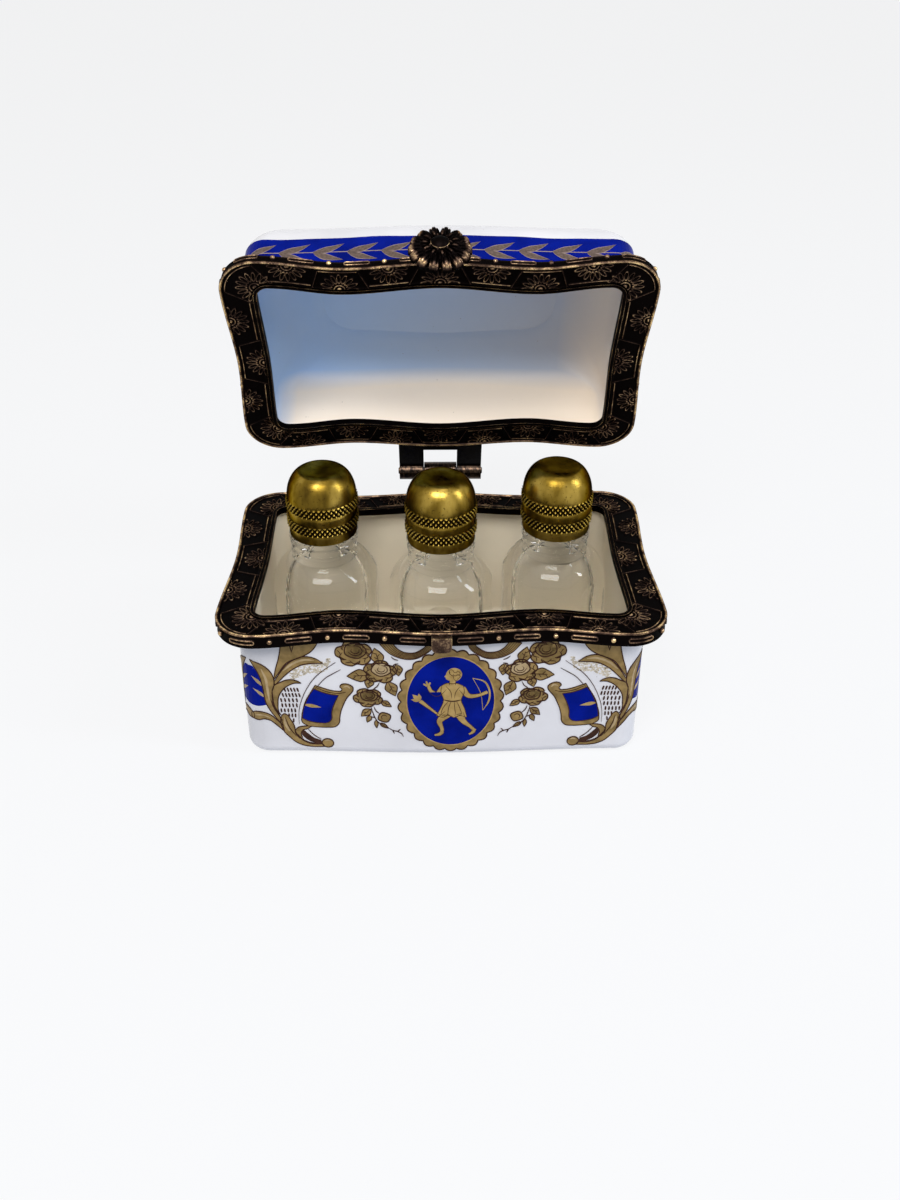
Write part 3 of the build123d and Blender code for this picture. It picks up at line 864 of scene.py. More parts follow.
def rose(art, centre, radius, turn=0.3, squash=0.88, cup_enamel="gold"):
    """An open rose: scalloped outer petals, overlapping inner ones, a pale cup and a tight heart."""
    middle = np.array(centre, float)
    size = np.array([radius, radius * squash])

    def at(share, angle):
        return middle + size * share * np.array([math.cos(angle), math.sin(angle)])

    outer = ring_points((0, 0), [1.0, 0.97, 0.82, 0.97], 20, turn) * size + middle
    art.loop("gold", outer, 0.26)
    cup_middle = middle + size * np.array([0.08, 0.22])
    cup = ring_points((0, 0), [0.56, 0.60], 10, turn) * size + cup_middle
    art.loop(cup_enamel, cup, 0.26)
    for petal in range(5):
        angle = turn + (petal + 0.5) * 2 * math.pi / 5
        art.draw("line", [at(0.82, angle), at(0.74, angle + 0.22), at(0.60, angle + 0.34)], 0.21)
        art.draw("line", [at(0.60, angle - 0.6), at(0.79, angle - 0.2), at(0.66, angle + 0.3)], 0.18)
        art.draw("line", [at(0.90, angle + 0.5), at(0.78, angle + 0.62), at(0.72, angle + 0.85)], 0.16)
    for share, sweep, width in ((0.38, 4.6, 0.19), (0.22, 4.2, 0.17)):
        angles = turn + 0.7 + share * 6 + np.linspace(0, sweep, 6)
        arc = np.stack([np.cos(angles), np.sin(angles)], axis=1) * size * share + cup_middle
        art.draw("line", arc, width)


# %% [markdown]
# The front has an oval medallion in the middle and the same spray, horn and scroll on each side of
# it, so half of it is drawn, left of the middle, and mirrored. Places are in millimetres from the
# medallion's middle and up from the foot.

# %% A spray of roses
def rose_spray():
    art = Art()
    stems = (
        ((-14.6, 19.4), (-15.1, 18.3), (-15.9, 17.5), (-16.2, 16.6)),
        ((-16.6, 12.6), (-16.3, 11.2), (-15.9, 9.7), (-15.3, 8.5), (-14.2, 7.5), (-13.0, 6.7)),
        ((-13.0, 6.7), (-12.2, 6.1), (-11.2, 5.8), (-10.4, 5.2), (-10.0, 4.3)),
        ((-16.0, 12.7), (-15.6, 11.6), (-14.9, 10.8)),
        ((-12.3, 6.1), (-11.9, 5.2)),
        ((-11.2, 5.9), (-10.6, 6.5)),
        ((-11.8, 23.6), (-11.4, 24.2), (-10.6, 24.4)),
        ((-16.4, 12.2), (-17.0, 11.8)),
        ((-15.8, 9.6), (-16.6, 9.9)),
    )
    for stem in stems:
        art.draw("line", stem, 0.2)
    leaf(art, (-16.6, 21.3), (-21.2, 20.9), 3.2)
    leaf(art, (-16.4, 20.3), (-17.1, 17.8), 1.9)
    leaf(art, (-14.4, 24.4), (-15.3, 28.4), 2.6)
    leaf(art, (-12.8, 19.5), (-11.4, 15.8), 2.6)
    leaf(art, (-14.4, 14.3), (-12.3, 12.8), 1.5)
    leaf(art, (-16.7, 12.0), (-18.8, 10.0), 1.8)
    leaf(art, (-16.8, 10.2), (-17.6, 8.3), 1.1, vein=False)
    leaf(art, (-15.7, 8.9), (-15.6, 6.7), 0.8, vein=False)
    leaf(art, (-14.9, 8.1), (-13.1, 6.7), 0.9, vein=False)
    leaf(art, (-10.9, 24.1), (-10.6, 21.2), 2.0)
    rose(art, (-19.5, 26.9), 3.8, 0.5)
    rose(art, (-14.4, 22.2), 3.4, 0.2, cup_enamel="pale")
    rose(art, (-17.1, 15.2), 3.1, 0.8, 0.82)
    art.loop("gold", ring_points((-13.9, 9.8), [1.4, 1.25], 8, 0.4), 0.24)
    art.draw("line", ring_points((-13.9, 9.8), [0.65], 7, 0.4)[:5], 0.16)
    return art


# %% [markdown]
# Beside the spray a horn opens out of an acanthus stem: gold leaves curl up and over, a cobalt
# pennant with a gold edge hangs out of its mouth, and short dashes shade the horn.

# %% The acanthus horn
DASH_ROWS, TOP_DASH, DASH_ROW_GAP, DASH_PITCH = 7, 17.0, 1.42, 0.74
STIPPLE_DOTS = 210
CORNER_LINE = -41.9


def horn_leaves(art):
    """The leaves that curl out of the stem, from the rim down to the corner."""
    art.shape(
        "gold",
        [(-36.3, 19.6), (-35.8, 22.0), (-34.9, 25.0), (-34.2, 28.2), (-34.0, 31.0)],
        [(-34.0, 31.0), (-26.2, 31.0)],
        [(-26.2, 31.0), (-26.9, 28.9), (-28.2, 27.1), (-29.9, 25.9), (-33.2, 24.2), (-35.0, 21.7),
         (-36.3, 19.6)],
    )
    art.draw("line", [(-32.4, 31.0), (-32.2, 28.6), (-32.0, 26.9)], 0.24)
    art.draw("line", [(-31.0, 30.2), (-31.6, 28.4), (-32.0, 27.0)], 0.2)
    art.shape(
        "gold",
        [(-36.2, 19.2), (-35.0, 21.3), (-33.0, 24.0), (-31.4, 25.2), (-30.0, 25.8), (-28.5, 25.8),
         (-27.2, 25.3), (-25.9, 24.2)],
        [(-25.9, 24.2), (-28.0, 24.1), (-29.9, 23.8), (-32.0, 22.6), (-34.0, 20.7), (-35.3, 19.2),
         (-36.3, 18.2)],
        [(-36.3, 18.2), (-36.2, 19.2)],
    )
    art.draw("pale", [(-34.2, 22.0), (-32.0, 24.0), (-29.6, 25.0), (-27.6, 24.9)], 0.5)
    art.shape(
        "gold",
        [(-36.9, 16.8), (-36.3, 18.2), (-35.0, 19.0), (-33.8, 19.6), (-32.4, 19.7), (-31.3, 19.3),
         (-30.7, 18.8)],
        [(-30.7, 18.8), (-32.0, 18.8), (-33.5, 18.1), (-34.8, 16.8), (-35.7, 15.0), (-36.0, 13.0),
         (-36.0, 11.0), (-35.6, 9.9)],
        [(-35.6, 9.9), (-36.6, 12.0), (-36.9, 16.8)],
    )
    art.shape(
        "gold",
        [(-40.9, 24.6), (-38.6, 23.8), (-37.0, 22.2), (-36.3, 20.4), (-36.4, 18.0), (-37.0, 16.2)],
        [(-37.0, 16.2), (-36.9, 12.6), (-36.0, 10.0), (-35.4, 7.0)],
        [(-35.4, 7.0), (-36.8, 9.4), (-37.8, 11.4), (-38.4, 13.2), (-38.7, 17.2), (-39.2, 21.0),
         (-40.9, 24.6)],
    )
    art.draw("pale", [(-38.6, 22.6), (-37.9, 20.0), (-37.8, 17.0), (-37.7, 14.0)], 0.5)
    art.draw("line", [(-37.4, 14.5), (-36.9, 12.0), (-36.0, 9.9), (-35.4, 8.4)], 0.22)
    art.shape(
        "gold",
        [(-42.2, 9.9), (-41.0, 10.6), (-39.5, 10.8), (-38.0, 10.2), (-36.8, 8.9), (-35.5, 7.0)],
        [(-35.5, 7.0), (-35.3, 5.3)],
        [(-35.3, 5.3), (-36.8, 7.2), (-38.0, 8.5), (-39.2, 8.9), (-40.6, 8.4), (-42.2, 8.6), (-42.2, 9.9)],
    )
    art.draw("pale", [(-41.2, 9.6), (-39.4, 9.9), (-37.9, 9.2)], 0.35)


def horn_foot(art):
    """The stem's foot, which sweeps down and forward to a ball."""
    art.shape(
        "gold",
        [(-35.5, 9.9), (-35.9, 8.4), (-35.7, 6.6), (-35.3, 5.2), (-34.3, 3.7), (-33.0, 2.2),
         (-31.5, 1.35), (-29.8, 1.0), (-27.0, 1.0)],
        [(-27.0, 1.0), (-27.4, 1.8)],
        [(-27.4, 1.8), (-29.2, 1.7), (-30.9, 2.3), (-32.2, 3.6), (-32.9, 5.0), (-33.1, 7.0), (-34.2, 9.9)],
        [(-34.2, 9.9), (-34.9, 10.4), (-35.5, 9.9)],
    )
    art.draw("line", [(-32.6, 4.6), (-31.4, 2.9), (-29.6, 2.0), (-27.6, 1.9)], 0.2)
    art.draw("line", [(-34.8, 9.3), (-34.2, 6.6), (-32.9, 3.9)], 0.2)
    art.draw("pale", [(-35.0, 9.2), (-34.9, 7.4), (-34.2, 5.4)], 0.5)
    art.shape(
        "line",
        [(-31.2, 5.8), (-31.7, 4.8), (-31.2, 3.7), (-30.0, 2.6), (-28.6, 2.0), (-27.5, 2.0)],
        [(-27.5, 2.0), (-27.7, 2.9)],
        [(-27.7, 2.9), (-29.1, 3.5), (-30.2, 4.6), (-31.2, 5.8)],
        edge=0,
    )
    art.shape(
        "gold",
        [(-29.4, 6.9), (-31.0, 6.9), (-32.3, 6.5), (-33.0, 5.6), (-32.9, 4.5), (-32.3, 3.4)],
        [(-32.3, 3.4), (-31.6, 3.4)],
        [(-31.6, 3.4), (-31.8, 4.9), (-31.3, 5.8), (-30.3, 6.2), (-29.4, 6.9)],
    )
    art.draw("line", [(-30.3, 6.1), (-29.1, 4.4), (-27.6, 3.1)], 0.18)
    art.loop("gold", ring_points((-26.3, 2.1), [1.25], 8), 0.22)
    art.draw("pale", [(-26.9, 2.6), (-26.2, 2.9), (-25.7, 2.6)], 0.35)


def pennant(art):
    """The gold pennant with its rolled corner, and the cobalt field inside its border."""
    upper_edge = [(-27.9, 18.3), (-26.5, 17.7), (-25.0, 17.1), (-23.6, 16.8), (-22.6, 16.9)]
    rolled_corner = [(-22.4, 17.4), (-22.8, 18.0), (-22.5, 18.6), (-21.7, 18.85), (-20.8, 18.6),
                     (-20.1, 17.9), (-20.1, 17.2), (-20.6, 16.3)]
    free_edge = [(-21.4, 15.2), (-22.3, 13.2), (-22.9, 11.5), (-23.3, 9.5), (-23.5, 8.0)]
    lower_edge = [(-24.3, 6.95), (-26.0, 6.65), (-28.0, 6.7), (-30.0, 6.9)]
    mouth_edge = [(-30.0, 6.9), (-31.3, 8.0), (-31.3, 9.6), (-30.4, 13.0), (-29.3, 15.6), (-27.9, 18.3)]
    art.shape("gold", upper_edge + rolled_corner + free_edge + lower_edge, mouth_edge)
    art.shape(
        "field",
        [(-28.2, 17.3), (-26.6, 16.5), (-25.0, 15.95), (-23.2, 15.7)],
        [(-23.2, 15.7), (-24.2, 13.4), (-24.9, 11.0), (-25.1, 8.9), (-25.6, 8.2), (-26.6, 7.85)],
        [(-26.6, 7.85), (-28.4, 8.0), (-30.1, 8.5), (-31.2, 9.2)],
        [(-31.2, 9.2), (-30.9, 11.4), (-30.3, 13.6), (-29.4, 15.5), (-28.2, 17.3)],
    )
    leaf(art, (-30.5, 13.0), (-27.0, 12.3), 0.95, enamel="figure", vein=False, edge=0)
    art.draw("line", [(-27.6, 17.6), (-25.2, 16.5), (-23.0, 16.25), (-21.6, 16.6)], 0.16)
    art.draw("pale", [(-22.1, 17.9), (-21.3, 18.2), (-20.7, 17.6)], 0.4)


def horn_shading(art):
    """The bell of the horn: two thin lines, rows of dashes and a stippled shadow."""
    bell = [(-23.3, 24.5), (-25.0, 23.1), (-26.8, 21.5), (-28.5, 19.4), (-29.6, 17.5), (-30.7, 15.0),
            (-31.5, 12.5), (-31.9, 10.0), (-32.0, 7.4)]
    art.draw("line", bell, 0.14)
    art.draw("line", [(-22.4, 22.6), (-24.0, 21.5), (-25.5, 20.4), (-27.0, 18.6), (-28.1, 17.2)], 0.14)
    left_edge = [(-34.0, 17.8), (-35.2, 15.6), (-35.6, 13.0), (-35.5, 10.6), (-34.0, 9.6), (-33.2, 7.8)]
    right_edge = [(-31.2, 17.8), (-31.1, 15.6), (-31.8, 13.0), (-32.2, 10.6), (-32.4, 9.6), (-32.5, 7.8)]
    left_edge, right_edge = smooth_line(left_edge), smooth_line(right_edge)
    for row in range(DASH_ROWS):
        level = TOP_DASH - DASH_ROW_GAP * row
        left = np.interp(level, left_edge[::-1, 1], left_edge[::-1, 0])
        right = np.interp(level, right_edge[::-1, 1], right_edge[::-1, 0])
        count = max(1, round((right - left) / DASH_PITCH))
        for k in range(count):
            x = left + (right - left) * (k + 0.35 + 0.3 * (row % 2)) / count
            lean = 0.25 * (level - 11) / 6
            ends = (x + lean / 2, level - 0.5), (x - lean / 2, level + 0.5)
            art.draw("line", ends, 0.34, (0.7, 0.7))
    random = np.random.default_rng(4)
    upper_edge = smooth_line([(-33.0, 21.4), (-31.0, 23.1), (-29.0, 24.0), (-26.6, 24.3), (-24.4, 25.6)])
    for _ in range(STIPPLE_DOTS):
        x, drop = -33.0 + 8.6 * random.random(), 2.6 * random.random() ** 1.3
        level = np.interp(x, upper_edge[:, 0], upper_edge[:, 1]) - drop
        art.fill("stipple", ring_points((x, level), [0.15 + 0.1 * random.random()], 5, drop))


def corner_panel(art):
    """Cobalt behind the corner leaf, with pale streaks; it ends at the corner's own line."""
    edge = CORNER_LINE
    art.shape(
        "cobalt",
        [(-40.3, 22.9), (-41.2, 23.0), (edge, 22.6)],
        [(edge, 22.6), (edge, 12.2)],
        [(edge, 12.2), (-40.4, 12.3), (-38.3, 12.9)],
        [(-38.3, 12.9), (-38.7, 15.2), (-38.7, 17.5), (-39.3, 21.0), (-40.3, 22.9)],
        edge=0,
    )
    leaf(art, (-38.8, 18.0), (edge + 0.9, 20.3), 0.8, -0.2, "pale", vein=False, edge=0)
    leaf(art, (-38.6, 15.0), (edge + 0.9, 17.0), 0.8, -0.2, "pale", vein=False, edge=0)


def horn():
    art = Art()
    corner_panel(art)
    pennant(art)
    horn_leaves(art)
    horn_foot(art)
    horn_shading(art)
    return art


# %% [markdown]
# Two swags hang from the rim to the medallion, and the medallion itself is a cobalt oval in a gold
# border with a scalloped edge.

# %% Swags and the medallion
MEDALLION_HEIGHT = 14.2
OVAL = (9.15, 12.2)
BORDER = 1.15
SCALLOPS = 26


def swag():
    art = Art()
    lower = [(-14.2, 29.4), (-12.2, 27.0), (-10.1, 25.9), (-8.4, 25.6), (-6.8, 25.9), (-5.4, 26.8),
             (-3.9, 28.2), (-3.2, 30.0)]
    upper = [(-11.8, 30.0), (-10.6, 28.2), (-9.4, 27.4), (-8.4, 27.2), (-7.2, 27.3), (-6.0, 28.0),
             (-5.0, 29.0), (-4.6, 30.0)]
    art.shape("gold", lower, [lower[-1], upper[-1]], upper[::-1], [upper[0], lower[0]])
    for share in (0.2, 0.4, 0.6, 0.8):
        between = [tuple(np.array(a) * (1 - share) + np.array(b) * share) for a, b in zip(lower, upper)]
        art.draw("line", between, 0.13)
    art.draw("line", [(-12.0, 26.2), (-11.4, 25.6), (-10.6, 25.3)], 0.16)
    return art


def medallion():
    art = Art()
    angles = np.linspace(0, 2 * math.pi, SCALLOPS * 8, endpoint=False)
    lobes = np.abs(np.sin(angles * SCALLOPS / 2))
    reach_x, reach_z = OVAL[0] + BORDER + 0.75 * lobes, OVAL[1] + BORDER + 0.65 * lobes
    scallop = np.stack([reach_x * np.cos(angles), MEDALLION_HEIGHT + reach_z * np.sin(angles)], axis=1)
    art.fill("gold", scallop)
    art.ring("line", scallop, 0.26)
    oval = np.stack([OVAL[0] * np.cos(angles), MEDALLION_HEIGHT + OVAL[1] * np.sin(angles)], axis=1)
    art.fill("field", oval)
    art.ring("figure", oval, 0.24)
    return art


# %% [markdown]
# In the oval stands a small figure of a common kind, seen from behind in a short tunic, with a torch
# in one hand and a bow in the other. It is drawn from plain proportions: limbs are tapered strokes,
# and the tunic is one shape with folds.

# %% The figure in the oval
def limb(art, points, widths):
    """A tapered arm or leg along a smooth line, with a fine edge."""
    line = smooth_line(points)
    share = np.linspace(0, 1, len(line))
    half = np.interp(share, np.linspace(0, 1, len(widths)), widths)[:, None] / 2
    reach = sideways(line) * half
    left, right = line + reach, (line - reach)[::-1]
    art.fill("figure", np.vstack([left, right]))
    art.brush("detail", left, 0.12, (0.4, 0.4))
    art.brush("detail", right, 0.12, (0.4, 0.4))


def figure():
    art = Art()
    limb(art, [(-0.5, 11.0), (-2.3, 8.9), (-1.8, 6.4), (-1.9, 5.6)], [1.9, 1.7, 1.2, 0.8, 0.8])
    limb(art, [(-1.7, 5.9), (-2.3, 5.2), (-3.4, 4.9)], [0.9, 0.9, 0.5])
    limb(art, [(1.7, 11.0), (2.7, 8.8), (4.3, 7.1), (5.0, 6.2)], [1.9, 1.6, 1.2, 0.8, 0.8])
    limb(art, [(5.0, 6.5), (4.7, 5.6), (3.9, 5.0)], [0.9, 0.8, 0.5])
    limb(art, [(-1.5, 18.1), (-3.0, 16.4), (-4.0, 17.2), (-4.6, 18.7)], [1.5, 1.3, 1.1, 0.8, 0.7])
    for tip in ((-5.6, 19.2), (-5.0, 19.9), (-4.2, 19.6)):
        art.draw("figure", [(-4.6, 18.4), tip], 0.42, (1, 0.6))
    limb(art, [(2.3, 18.0), (3.9, 15.8), (5.6, 15.9), (7.6, 16.8)], [1.5, 1.3, 1.1, 0.8, 0.9])
    tunic = [(-1.9, 18.7), (-2.0, 17.0), (-1.5, 14.8), (-2.1, 12.6), (-3.0, 10.5)]
    hem = [(-3.0, 10.5), (-1.7, 10.0), (-0.5, 10.5), (0.7, 9.9), (1.9, 10.4), (3.4, 9.9)]
    side = [(3.4, 9.9), (2.9, 12.4), (2.2, 14.7), (2.8, 17.0), (2.6, 18.6)]
    neck = [(2.6, 18.6), (1.2, 19.3), (0.3, 19.2), (-0.7, 19.4), (-1.9, 18.7)]
    art.shape("figure", tunic, hem, side, neck, edge=0)
    for line in (tunic, hem, side, neck):
        art.draw("detail", line, 0.14, (0.6, 0.6))
    for x in (-1.4, -0.4, 0.7, 1.6):
        art.draw("detail", [(0.3 + x * 0.6, 14.4), (x * 1.25, 12.2), (x * 1.5, 10.6)], 0.13)
    art.draw("detail", [(-1.6, 14.9), (0.3, 14.4), (2.3, 14.8)], 0.3)
    art.draw("detail", [(-1.0, 18.6), (0.0, 17.0), (0.2, 15.2)], 0.13)
    art.draw("detail", [(1.9, 18.4), (1.0, 16.8), (0.8, 15.2)], 0.13)
    limb(art, [(0.35, 18.8), (0.4, 20.0)], [1.3, 1.2])
    head = [(-0.6, 20.2), (-1.0, 20.5), (-1.0, 20.9), (-1.25, 21.0), (-1.0, 21.6), (-0.8, 22.3), (0.2, 23.3),
            (1.6, 23.1), (2.3, 21.9), (1.9, 20.5), (0.9, 19.8), (0.1, 19.9)]
    art.fill("figure", smooth_line(head, closed=True))
    art.draw("detail", [(-0.4, 22.6), (-0.1, 21.7), (0.5, 21.2), (0.6, 20.4)], 0.13)
    for x, z in ((0.1, 22.5), (0.9, 22.6), (1.5, 22.0), (0.9, 21.7), (1.5, 21.1), (1.1, 20.5)):
        art.draw("detail", ring_points((x, z), [0.42], 8, 3 * x)[:6], 0.12)
    limb(art, [(-2.2, 10.3), (-4.4, 12.6), (-6.3, 14.5)], [0.4, 0.7, 1.0])
    for tip, width in (((-8.2, 14.9), 0.9), ((-7.9, 16.3), 1.1), ((-6.6, 16.6), 0.8)):
        root, tip = np.array([-6.3, 14.5]), np.array(tip)
        aside = np.array([root[1] - tip[1], tip[0] - root[0]])
        aside *= width / 2 / np.linalg.norm(aside)
        halves = [smooth_line([root, (root + tip) / 2 + aside, tip])[:-1],
                  smooth_line([tip, (root + tip) / 2 - aside, root])[:-1]]
        art.fill("figure", np.vstack(halves))
    bow = [(4.5, 20.6), (6.9, 19.6), (8.0, 17.0), (7.8, 14.0), (6.7, 11.8)]
    art.draw("figure", bow, 0.36)
    art.draw("figure", [bow[0], (6.2, 16.4), bow[-1]], 0.12, (1, 1))
    return art


def bouquet():
    """The back's medallion holds three roses and leaves."""
    art = Art()
    for tip_x, tip_z in ((-5.6, 19.5), (5.4, 20.0), (-5.8, 9.6), (5.6, 9.0), (0.3, 24.0), (0.0, 4.2)):
        root = (0.45 * tip_x, MEDALLION_HEIGHT + 0.45 * (tip_z - MEDALLION_HEIGHT))
        leaf(art, root, (tip_x, tip_z), 2.2, 0.2)
    rose(art, (-2.6, 16.4), 3.0, 0.2)
    rose(art, (2.9, 15.0), 2.7, 0.9)
    rose(art, (-0.3, 10.6), 2.8, 0.5)
    raised = {"gold": "figure", "pale": "detail_pale", "line": "detail"}
    art.patches = {raised[enamel]: patches for enamel, patches in art.patches.items()}
    return art


# %% [markdown]
# Round the lid runs a laurel garland on a cobalt band, with leaves in pairs along one stem.

# %% The laurel band
BAND_LOW, BAND_HIGH = 36.3, 45.8
BAND_STEPS = 8
LAUREL_PITCH = 7.0
STEM_HEIGHT = 41.3


def laurel():
    """The cobalt band with its wavy upper edge, the stem, and a pair of leaves at each pitch."""
    art = Art()
    count = round(WALL_ROUND / LAUREL_PITCH)
    pitch = WALL_ROUND / count
    travel = np.arange(count * BAND_STEPS + 1) * pitch / BAND_STEPS
    wavy = BAND_HIGH + 0.12 * np.sin(travel / 5.3) + 0.08 * np.sin(travel / 2.1)
    wavy[-1] = wavy[0]
    top = np.stack([travel, wavy], axis=1)
    bottom, stem = (np.column_stack([travel, travel * 0 + level]) for level in (BAND_LOW, STEM_HEIGHT))
    faces = strip_faces(len(travel))
    art.patches["cobalt"].append((np.vstack([bottom, top]), faces))
    art.patches["rim"].append(stroke(stem, 0.22, (1, 1)))
    for k in range(count):
        root = ((k + 0.3) * pitch, STEM_HEIGHT)
        for rise in (2.6, -2.5):
            tip = (root[0] + 6.3, STEM_HEIGHT + rise)
            leaf(art, root, tip, 1.9, -0.4, "rim", vein=False, edge=0)
            leaf(art, root, tip, 1.55, -0.4, "laurel", vein=False, edge=0)
    return art


# %% [markdown]
# Flat shapes are cut along the wall every millimetre, so that they can bend with it. Every enamel
# is cut at the same places, or a lower colour would show through a higher one at the corners. The
# shapes get small side walls that sink into the glaze. Then each point is carried onto the wall:
# along it, up it and out of it.

# %% Lay the painting on the walls
FOOT_ROUND = 2.4
FOOT_CUTS = (0.25, 0.5, 0.75, 1.0)
CUT_STEP = 1.0
SUNK = -0.02
PRINT_WIDTH, PRINT_FLARE = 0.9749, 0.00069
PRINT_LIFT, PRINT_SQUEEZE, PRINT_STRETCH = 1.66, 0.0726, 0.0007
PROUD = {
    "cobalt": 0.05, "stipple": 0.03, "gold": 0.06, "pale": 0.075, "field": 0.085, "rim": 0.08,
    "laurel": 0.09, "figure": 0.105, "detail_pale": 0.115, "line": 0.12, "detail": 0.13,
}


def on_wall(flat, foot):
    """Carries (along, up, out) to the porcelain wall; the foot's rounding starts below foot."""
    along = flat[:, 0] % WALL_ROUND

    def round_wall(values):
        closed = np.vstack([values, values[:1]])
        return np.stack([np.interp(along, wall_travel, column) for column in closed.T], axis=1)

    place, normal = round_wall(wall_loop), round_wall(wall_normal)
    turn = np.clip((foot - flat[:, 1]) / foot, 0, 1.4) if foot else np.zeros(len(flat))
    out = flat[:, 2] * np.cos(turn) - foot * (1 - np.cos(turn))
    z = np.where(flat[:, 1] < foot, foot - (foot + flat[:, 2]) * np.sin(turn), flat[:, 1])
    return np.column_stack([place + normal * out[:, None], z])


def gather(arts):
    """Patches by enamel from (art, sign, shift, scale) placements."""
    found = {}
    for art, sign, shift, scale in arts:
        for enamel, patches in art.patches.items():
            for points, faces in patches:
                moved = np.column_stack([points[:, 0] * sign * scale + shift, points[:, 1]])
                found.setdefault(enamel, []).append((moved, faces))
    return found


def fitted(art):
    """The print as it sits on the wall, a little narrower and lower at the top than it was drawn."""
    for patches in art.patches.values():
        for points, _ in patches:
            up = points[:, 1].copy()
            points[:, 0] *= PRINT_WIDTH + PRINT_FLARE * up
            points[:, 1] = up + PRINT_LIFT - PRINT_SQUEEZE * up + PRINT_STRETCH * up**2
    return art


def slice_across(work, place, normal):
    """Cuts every flat patch where a plane crosses it."""
    everything = work.verts[:] + work.edges[:] + work.faces[:]
    bmesh.ops.bisect_plane(work, geom=everything, dist=1e-5, plane_co=place, plane_no=normal)


def lay(name, patches, proud, foot, pose, material, body):
    """Makes one enamel's patches into one raised mesh on a wall."""
    work = bmesh.new()
    for points, faces in patches:
        corners = [work.verts.new((x, y, proud)) for x, y in points]
        for face in faces:
            try:
                made = work.faces.new([corners[i] for i in face])
            except ValueError:
                continue
            made.normal_update()
            if made.normal.z < 0:
                made.normal_flip()
    xs = [v.co.x for v in work.verts]
    first_cut = math.floor(min(xs) / CUT_STEP) * CUT_STEP
    for cut in np.arange(first_cut, max(xs), CUT_STEP):
        slice_across(work, (cut, 0, 0), (1, 0, 0))
    for share in FOOT_CUTS if foot else ():
        slice_across(work, (0, foot * share, 0), (0, 1, 0))
    rim = [edge for edge in work.edges if len(edge.link_faces) == 1]
    walls = bmesh.ops.extrude_edge_only(work, edges=rim)["geom"]
    for vert in (item for item in walls if isinstance(item, bmesh.types.BMVert)):
        vert.co.z = SUNK
    flat = np.array([v.co[:] for v in work.verts])
    points = pose(on_wall(flat, foot))
    work.verts.index_update()
    faces = [[v.index for v in face.verts] for face in work.faces]
    work.free()
    piece(name, points, faces, material, body, smooth=False)
    print(name, len(faces), "faces")


# %% [markdown]
# Cobalt is a deep blue that pools a little. The gold is burnished only lightly, so it reads
# as a matt olive gold, and the lines are a warm dark brown. Their shine is kept low, because
# under a white sky a strong shine would wash the deep colours out.

# %% Enamels
def enamel(name, dark, light, size_mm, metallic, rough, shine=0.25):
    finish = Finish(name)
    finish.set(Metallic=metallic, Specular_IOR_Level=shine)
    clouds = finish.noise(size_mm, 4.0)
    grain = finish.noise(0.3, 2.0)
    finish.colour(finish.ramp(clouds, (0.32, dark), (0.68, light)))
    finish.rough(finish.between(grain, 0.3, 0.7, rough - 0.06, rough + 0.06))
    finish.bump(clouds, 0.02, 0.4)
    return finish.material


enamels = {
    "cobalt": enamel("cobalt_enamel", (0.000, 0.005, 0.14), (0.001, 0.010, 0.25), 6.0, 0.0, 0.22, 0.02),
    "gold": enamel("matt_gold", (0.165, 0.106, 0.031), (0.33, 0.215, 0.075), 2.0, 0.2, 0.42),
    "pale": enamel("pale_gold", (0.34, 0.24, 0.12), (0.48, 0.36, 0.20), 1.6, 0.2, 0.40),
    "line": enamel("brown_line", (0.025, 0.008, 0.004), (0.055, 0.020, 0.010), 1.2, 0.0, 0.40, 0.1),
    "figure": enamel("figure_gold", (0.30, 0.19, 0.055), (0.46, 0.31, 0.11), 1.8, 0.2, 0.40),
    "laurel": enamel("laurel_gold", (0.070, 0.047, 0.037), (0.145, 0.099, 0.080), 0.5, 0.2, 0.42),
    "rim": enamel("laurel_rim", (0.24, 0.175, 0.15), (0.32, 0.24, 0.21), 1.4, 0.1, 0.42),
    "stipple": enamel("beige_stipple", (0.50, 0.43, 0.32), (0.62, 0.55, 0.43), 1.0, 0.0, 0.35),
}
enamels["field"] = enamels["cobalt"]
enamels["detail"] = enamels["line"]
enamels["detail_pale"] = enamels["pale"]

# %% Paint the base and the lid
PRINT_SHIFT = 1.8
FRONT_MIDDLE, BACK_MIDDLE = 0.0, WALL_ROUND / 2
CORNER_TRAVEL = 41.1
SIDE_SCALE = 0.9
half_art = [fitted(rose_spray()), fitted(horn()), fitted(swag())]
horn_alone = half_art[1]
base_places = []
for art in half_art:
    for sign in (1, -1):
        for middle in (FRONT_MIDDLE, BACK_MIDDLE):
            base_places.append((art, sign, middle + PRINT_SHIFT, 1.0))
for middle in (FRONT_MIDDLE, BACK_MIDDLE):
    for sign in (1, -1):
        side_middle = middle + PRINT_SHIFT + sign * CORNER_TRAVEL * (1 + SIDE_SCALE)
        base_places.append((horn_alone, sign, side_middle, SIDE_SCALE))
ovals = ((medallion, FRONT_MIDDLE), (medallion, BACK_MIDDLE), (figure, FRONT_MIDDLE), (bouquet, BACK_MIDDLE))
for drawn, middle in ovals:
    base_places.append((fitted(drawn()), 1, middle + PRINT_SHIFT, 1.0))
walls = [(base_places, "base", FOOT_ROUND, as_drawn), ([(laurel(), 1, 0.0, 1.0)], "lid", 0.0, swing)]
for places, body, foot, pose in walls:
    for enamel_name, patches in gather(places).items():
        name = f"{body}_{enamel_name}"
        lay(name, patches, PROUD[enamel_name], foot, pose, enamels[enamel_name], body)
